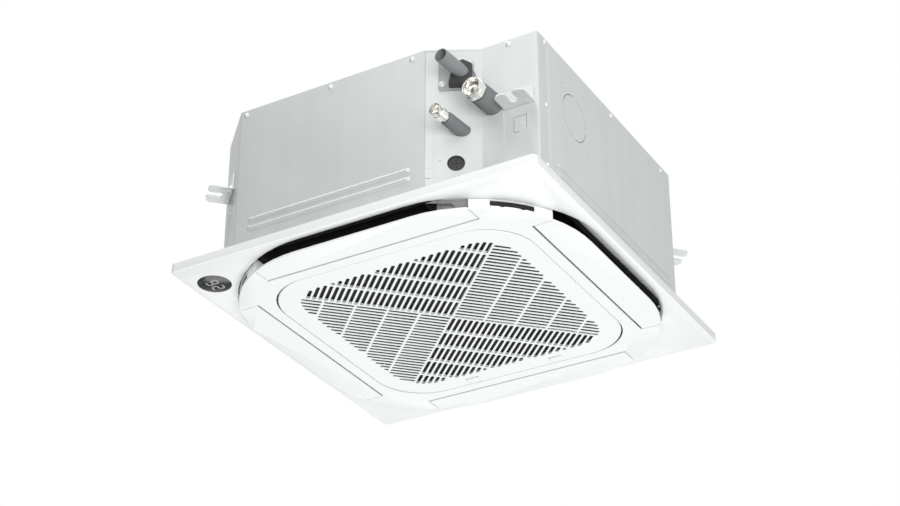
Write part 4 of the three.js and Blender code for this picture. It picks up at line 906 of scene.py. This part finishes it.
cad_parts["grille_ribs"].material_slots[0].material = WHITE
for side in ("left", "right"):
    latch = softened("latch_" + side, "press_latch_" + side, WHITE, 0.25)
    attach(latch, "latch_" + side)
    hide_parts("latch_" + side)

# ---- Air filter: air_filter ----
# A black frame with cross bars that clips in behind the grille, with a fine net welded across it. The net
# is painted near black as the shade behind the grille, which is what makes every slot look dark.

filter_frame = softened("air_filter", "filter_frame", BLACK_ABS, 0.3)
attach(filter_frame, "door")
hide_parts("air_filter")


def shade_black_filter_net():
    """Filter net painted with shade: threads about 1 mm apart, a little lighter than the near-black gaps, which
    stand for the shade behind them.
    """
    made, tree, place = new_finish("filter_net_painted_shade")
    lines = [add_node(tree, "TexWave", {"Vector": place, "Scale": 160.0},
                      bands_direction=axis) for axis in ("X", "Y")]
    thread = add_node(tree, "Math", {0: lines[0].outputs["Fac"], 1: lines[1].outputs["Fac"]},
                      operation="MAXIMUM")
    # Both colours are near black: painted shade of the dark inside behind the grille.
    colour = blend(tree, thread.outputs[0], "#141414", "#2A2A2A")
    shader = tree.nodes["Principled BSDF"]
    shader.inputs["Roughness"].default_value = 0.8
    wire(tree, colour)
    return made


net = bmesh.new()
bmesh.ops.create_grid(net, x_segments=1, y_segments=1, size=181)
bmesh.ops.bevel(net, geom=net.verts[:], offset=54, segments=8, **ROUND_CORNERS)
bmesh.ops.translate(net, verts=net.verts, vec=(0, 0, -8.4))
bmesh.ops.solidify(net, geom=net.faces[:], thickness=0.3)
filter_net = piece("filter_net", net, shade_black_filter_net())
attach(filter_net, "door")

# ---- Display: display_lens, display_board ----
# A gloss-black disc of PMMA, flush with the panel. Two seven-segment digits shine through it, set in
# the panel's diagonal so that they read upright from the room, with small dim marks round them.


def gloss_black():
    """Black PMMA: deep black with a polished, lightly hazed surface."""
    made, tree, place = new_finish("gloss_black_pmma")
    haze = add_node(tree, "TexNoise", {"Vector": place, "Scale": 120.0, "Detail": 3.0})
    colour = blend(tree, haze.outputs["Fac"], "#020202", "#060606")
    rough = add_node(tree, "MapRange", {"Value": haze.outputs["Fac"], "To Min": 0.12, "To Max": 0.2})
    wire(tree, colour, rough)
    return made


def lit_segment(name, hex_colour, strength):
    """A printed segment lit from behind, brighter along its middle."""
    made, tree, place = new_finish(name)
    spread = add_node(tree, "TexNoise", {"Vector": place, "Scale": 500.0, "Detail": 2.0})
    power = add_node(tree, "MapRange", {"Value": spread.outputs["Fac"], "To Min": strength * 0.7,
                                        "To Max": strength * 1.2})
    shader = tree.nodes["Principled BSDF"]
    shader.inputs["Base Color"].default_value = linear("#202020")
    shader.inputs["Emission Color"].default_value = linear(hex_colour)
    tree.links.new(power.outputs[0], shader.inputs["Emission Strength"])
    return made


centre_of_display = Matrix.Translation((DISPLAY["x"], DISPLAY["y"], 0))
disc = moved(spun([(0, -0.2), (DISPLAY["r"] - 0.9, -0.2), (DISPLAY["r"] - 0.4, -0.05), (DISPLAY["r"], 0.4),
                   (DISPLAY["r"], 1.6), (0, 1.6)], 96), centre_of_display)
lens = piece("display_window", disc, gloss_black())
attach(lens, "unit")
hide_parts("display_lens")


def stroke(start, end, width):
    """A bar between two points on the display, its ends cut to points."""
    start, end = Vector((*start, 0)), Vector((*end, 0))
    run = (end - start).length
    bar = slab([(0.5, 0), (0.5 + width / 2, -width / 2), (run - 0.5 - width / 2, -width / 2), (run - 0.5, 0),
                (run - 0.5 - width / 2, width / 2), (0.5 + width / 2, width / 2)], -0.3, -0.15)
    ahead = (end - start).normalized()
    turn = Matrix((ahead, (-ahead.y, ahead.x, 0), (0, 0, 1))).transposed().to_4x4()
    return moved(bar, Matrix.Translation(start), turn)


def digit(lit, left):
    """Seven-segment digit whose head points to +X, its left edge at left on Y."""
    head, waist, foot, right = 8.2, -1.0, -10.2, left + 9.6
    ends = {"a": ((head, left), (head, right)), "b": ((head, right), (waist, right)),
            "c": ((waist, right), (foot, right)),
            "d": ((foot, left), (foot, right)), "e": ((waist, left), (foot, left)),
            "f": ((head, left), (waist, left)),
            "g": ((waist, left), (waist, right))}
    return [stroke(*ends[name], 1.7) for name in lit]


digits = gather(*digit("abcdfg", -9.2), *digit("abdeg", 6.5))
numbers = piece("display_digits", moved(digits, centre_of_display),
                lit_segment("lit_white_segments", "#E9E9E6", 0.62))
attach(numbers, "unit")
dim = [stroke((-8.6, -18.6), (-7.0, -14.0), 1.5), stroke((13.0, -15.5), (16.6, -13.6), 1.2),
       stroke((14.4, 11.2), (17.2, 13.6), 1.2)]
for place in ((15.4, -2.0), (-15.5, -14.1), (3.6, -17.4)):
    ring = spun([(1.7, -0.15), (2.5, -0.15), (2.5, -0.3), (1.7, -0.3)], 20, closed=True)
    dim.append(moved(ring, Matrix.Translation((*place, 0))))
marks = piece("display_marks", moved(gather(*dim), centre_of_display),
              lit_segment("dim_grey_marks", "#9A9A98", 0.16))
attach(marks, "unit")

# ---- Outlet seals and painted shade ----
# Black foam gasket glued under the drain pan keeps cold air off white parts. The black liners in its four
# outlets and the strips behind the corner windows are painted shade: black sheets where the gaps only lie in
# shade.

gasket = lofted([square_ring(281, 110, 11.7), square_ring(281, 110, 11.95), square_ring(234.2, 88, 11.95),
                 square_ring(234.2, 88, 11.7)])
ways = gather(*[moved(box(236, 274, -175, 175, 5, 20), quarter_turn(side)) for side in range(4)])
gasket = less(gasket, ways)
painted_shade_liners = []
for side, far in enumerate((175, 175, 175, 111)):
    painted_shade_liner = less(box(236.4, 273.6, -175, far, 12.1, 57.5), box(237.4, 272.6, -174, far - 1, 10, 60))
    painted_shade_liners.append(moved(painted_shade_liner, quarter_turn(side)))
painted_shade_strips = lofted([square_ring(285.4, 186.9, -12.4), square_ring(285.4, 186.9, 3), square_ring(283, 184.5, 3),
                square_ring(283, 184.5, -12.4)])
gaps = [moved(box(230, 300, -182, 182, -20, 10), quarter_turn(side)) for side in range(4)]
painted_shade_strips = less(painted_shade_strips, gather(*gaps))
painted_shade_liners.append(painted_shade_strips)
# One black finish for the real gasket and for the painted shade of the liners and strips.
seal_and_shade_black = dull_plastic("black_seal_foam_and_painted_shade", "#161616", "#1E1E1E", 0.85)
seal = piece("outlet_seals_and_painted_shade", gather(gasket, *painted_shade_liners), seal_and_shade_black)
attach(seal, "unit")

# ---- Foam parts: drain_pan, foam_liner ----
# Pan and lining are moulded white EPS. Its beads, about 3 mm wide, show as a fine pebbled surface.


def eps_foam():
    """Expanded polystyrene: white beads with thin darker joints between them."""
    made, tree, place = new_finish("expanded_polystyrene")
    beads = add_node(tree, "TexVoronoi", {"Vector": place, "Scale": 320.0}, feature="DISTANCE_TO_EDGE")
    joint = add_node(tree, "MapRange", {"Value": beads.outputs["Distance"], "From Max": 0.12})
    colour = blend(tree, joint.outputs[0], "#D9DAD8", "#F0F0EE")
    bump = add_node(tree, "Bump", {"Height": joint.outputs[0], "Strength": 0.35, "Distance": 0.0004})
    shader = tree.nodes["Principled BSDF"]
    shader.inputs["Roughness"].default_value = 0.7
    wire(tree, colour, bump=bump)
    return made


EPS = eps_foam()
for node in ("drain_pan", "foam_liner"):
    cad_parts[node].material_slots[0].material = EPS

# ---- Fan, motor and bell mouth: turbo_fan, motor_shaft, fan_motor, bell_mouth ----
# The turbo fan is moulded in one piece of white ABS and driven from above by a motor in a zinc can.
# The bell mouth below it is a white moulding that turns the room air up into the fan's eye.

fan = softened("turbo_fan", "fan_wheel", WHITE, 0.3, 35)
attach(fan, "fan")
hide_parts("turbo_fan")
mouth = softened("bell_mouth", "inlet_bell", WHITE, 0.3, 35)
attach(mouth, "unit")
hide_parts("bell_mouth")
can = softened("fan_motor", "fan_motor_can", ZINC, 0.6, 35)
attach(can, "unit")
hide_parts("fan_motor")
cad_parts["motor_shaft"].material_slots[0].material = ZINC

# ---- Coil: heat_exchanger, coil_end_a, coil_end_b, gas_pipe, liquid_pipe ----
# Aluminium fins 1.4 mm apart on copper tube, bent round the fan in one long run, with its hairpins
# and the two copper headers at the pipe corner.


def fin_pack():
    """Thin aluminium fins, seen edge on as fine light upright lines 1.4 mm apart, with painted shade in the
    dark gaps between them.
    """
    made, tree, place = new_finish("aluminium_fins_and_painted_gap_shade")
    lines = [add_node(tree, "TexWave", {"Vector": place, "Scale": 112.0},
                      bands_direction=axis) for axis in ("X", "Y")]
    fin_edges_and_gap_shade = add_node(tree, "Math", {0: lines[0].outputs["Fac"], 1: lines[1].outputs["Fac"]},
                   operation="MULTIPLY")
    # The dark colour is painted shade in the gaps between the fins; the light one is the aluminium.
    colour = blend(tree, fin_edges_and_gap_shade.outputs[0], "#5F6366", "#DDE0E2")
    shader = tree.nodes["Principled BSDF"]
    shader.inputs["Metallic"].default_value = 0.7
    shader.inputs["Roughness"].default_value = 0.35
    wire(tree, colour)
    return made


def copper_tube():
    """Drawn copper with the uneven brown film that brazing and handling leave."""
    made, tree, place = new_finish("drawn_copper")
    film = add_node(tree, "TexNoise", {"Vector": place, "Scale": 45.0, "Detail": 5.0})
    colour = blend(tree, film.outputs["Fac"], "#8E4F35", "#C98261")
    rough = add_node(tree, "MapRange", {"Value": film.outputs["Fac"], "To Min": 0.22, "To Max": 0.45})
    shader = tree.nodes["Principled BSDF"]
    shader.inputs["Metallic"].default_value = 1.0
    wire(tree, colour, rough)
    return made


FINS_AND_GAP_SHADE, COPPER = fin_pack(), copper_tube()
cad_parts["heat_exchanger"].material_slots[0].material = FINS_AND_GAP_SHADE
for node, name, stub in (("gas_pipe", "gas_header", GAS), ("liquid_pipe", "liquid_header", LIQUID),
                         ("coil_end_a", "coil_hairpins_a", None), ("coil_end_b", "coil_hairpins_b", None)):
    part = softened(node, name, COPPER, 0, 50, stub)
    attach(part, "unit")
    "copper" if "pipe" in node else "aluminium"
    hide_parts(node)

# ---- Drain pump, float and electrics ----
# The pump and float switch stand in the pan's sumps. The electrics sit in a zinc box beside the bell
# mouth, reached when the grille hangs open: a green board, a cream terminal block and a cover plate.

CREAM = dull_plastic("cream_polyamide", "#CFCBBE", "#DAD6CA", 0.5)
for node, finish in (("drain_pump", BLACK_ABS), ("float_switch", BLACK_ABS), ("drain_float", WHITE),
                     ("display_board", BLACK_ABS), ("terminal_block", CREAM)):
    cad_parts[node].material_slots[0].material = finish
for node in ("control_box", "control_cover"):
    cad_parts[node].material_slots[0].material = ZINC


def solder_mask():
    """Green solder mask over copper tracks, which show as slightly lighter lines 2 mm apart."""
    made, tree, place = new_finish("solder_mask")
    tracks = add_node(tree, "TexWave", {"Vector": place, "Scale": 80.0, "Distortion": 6.0})
    colour = blend(tree, tracks.outputs["Fac"], "#17402A", "#2C6B45")
    shader = tree.nodes["Principled BSDF"]
    shader.inputs["Roughness"].default_value = 0.3
    wire(tree, colour)
    return made


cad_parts["control_board"].material_slots[0].material = solder_mask()

for corner in (*cad_box, *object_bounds()):
    json.dumps(list(corner)) + "\n"
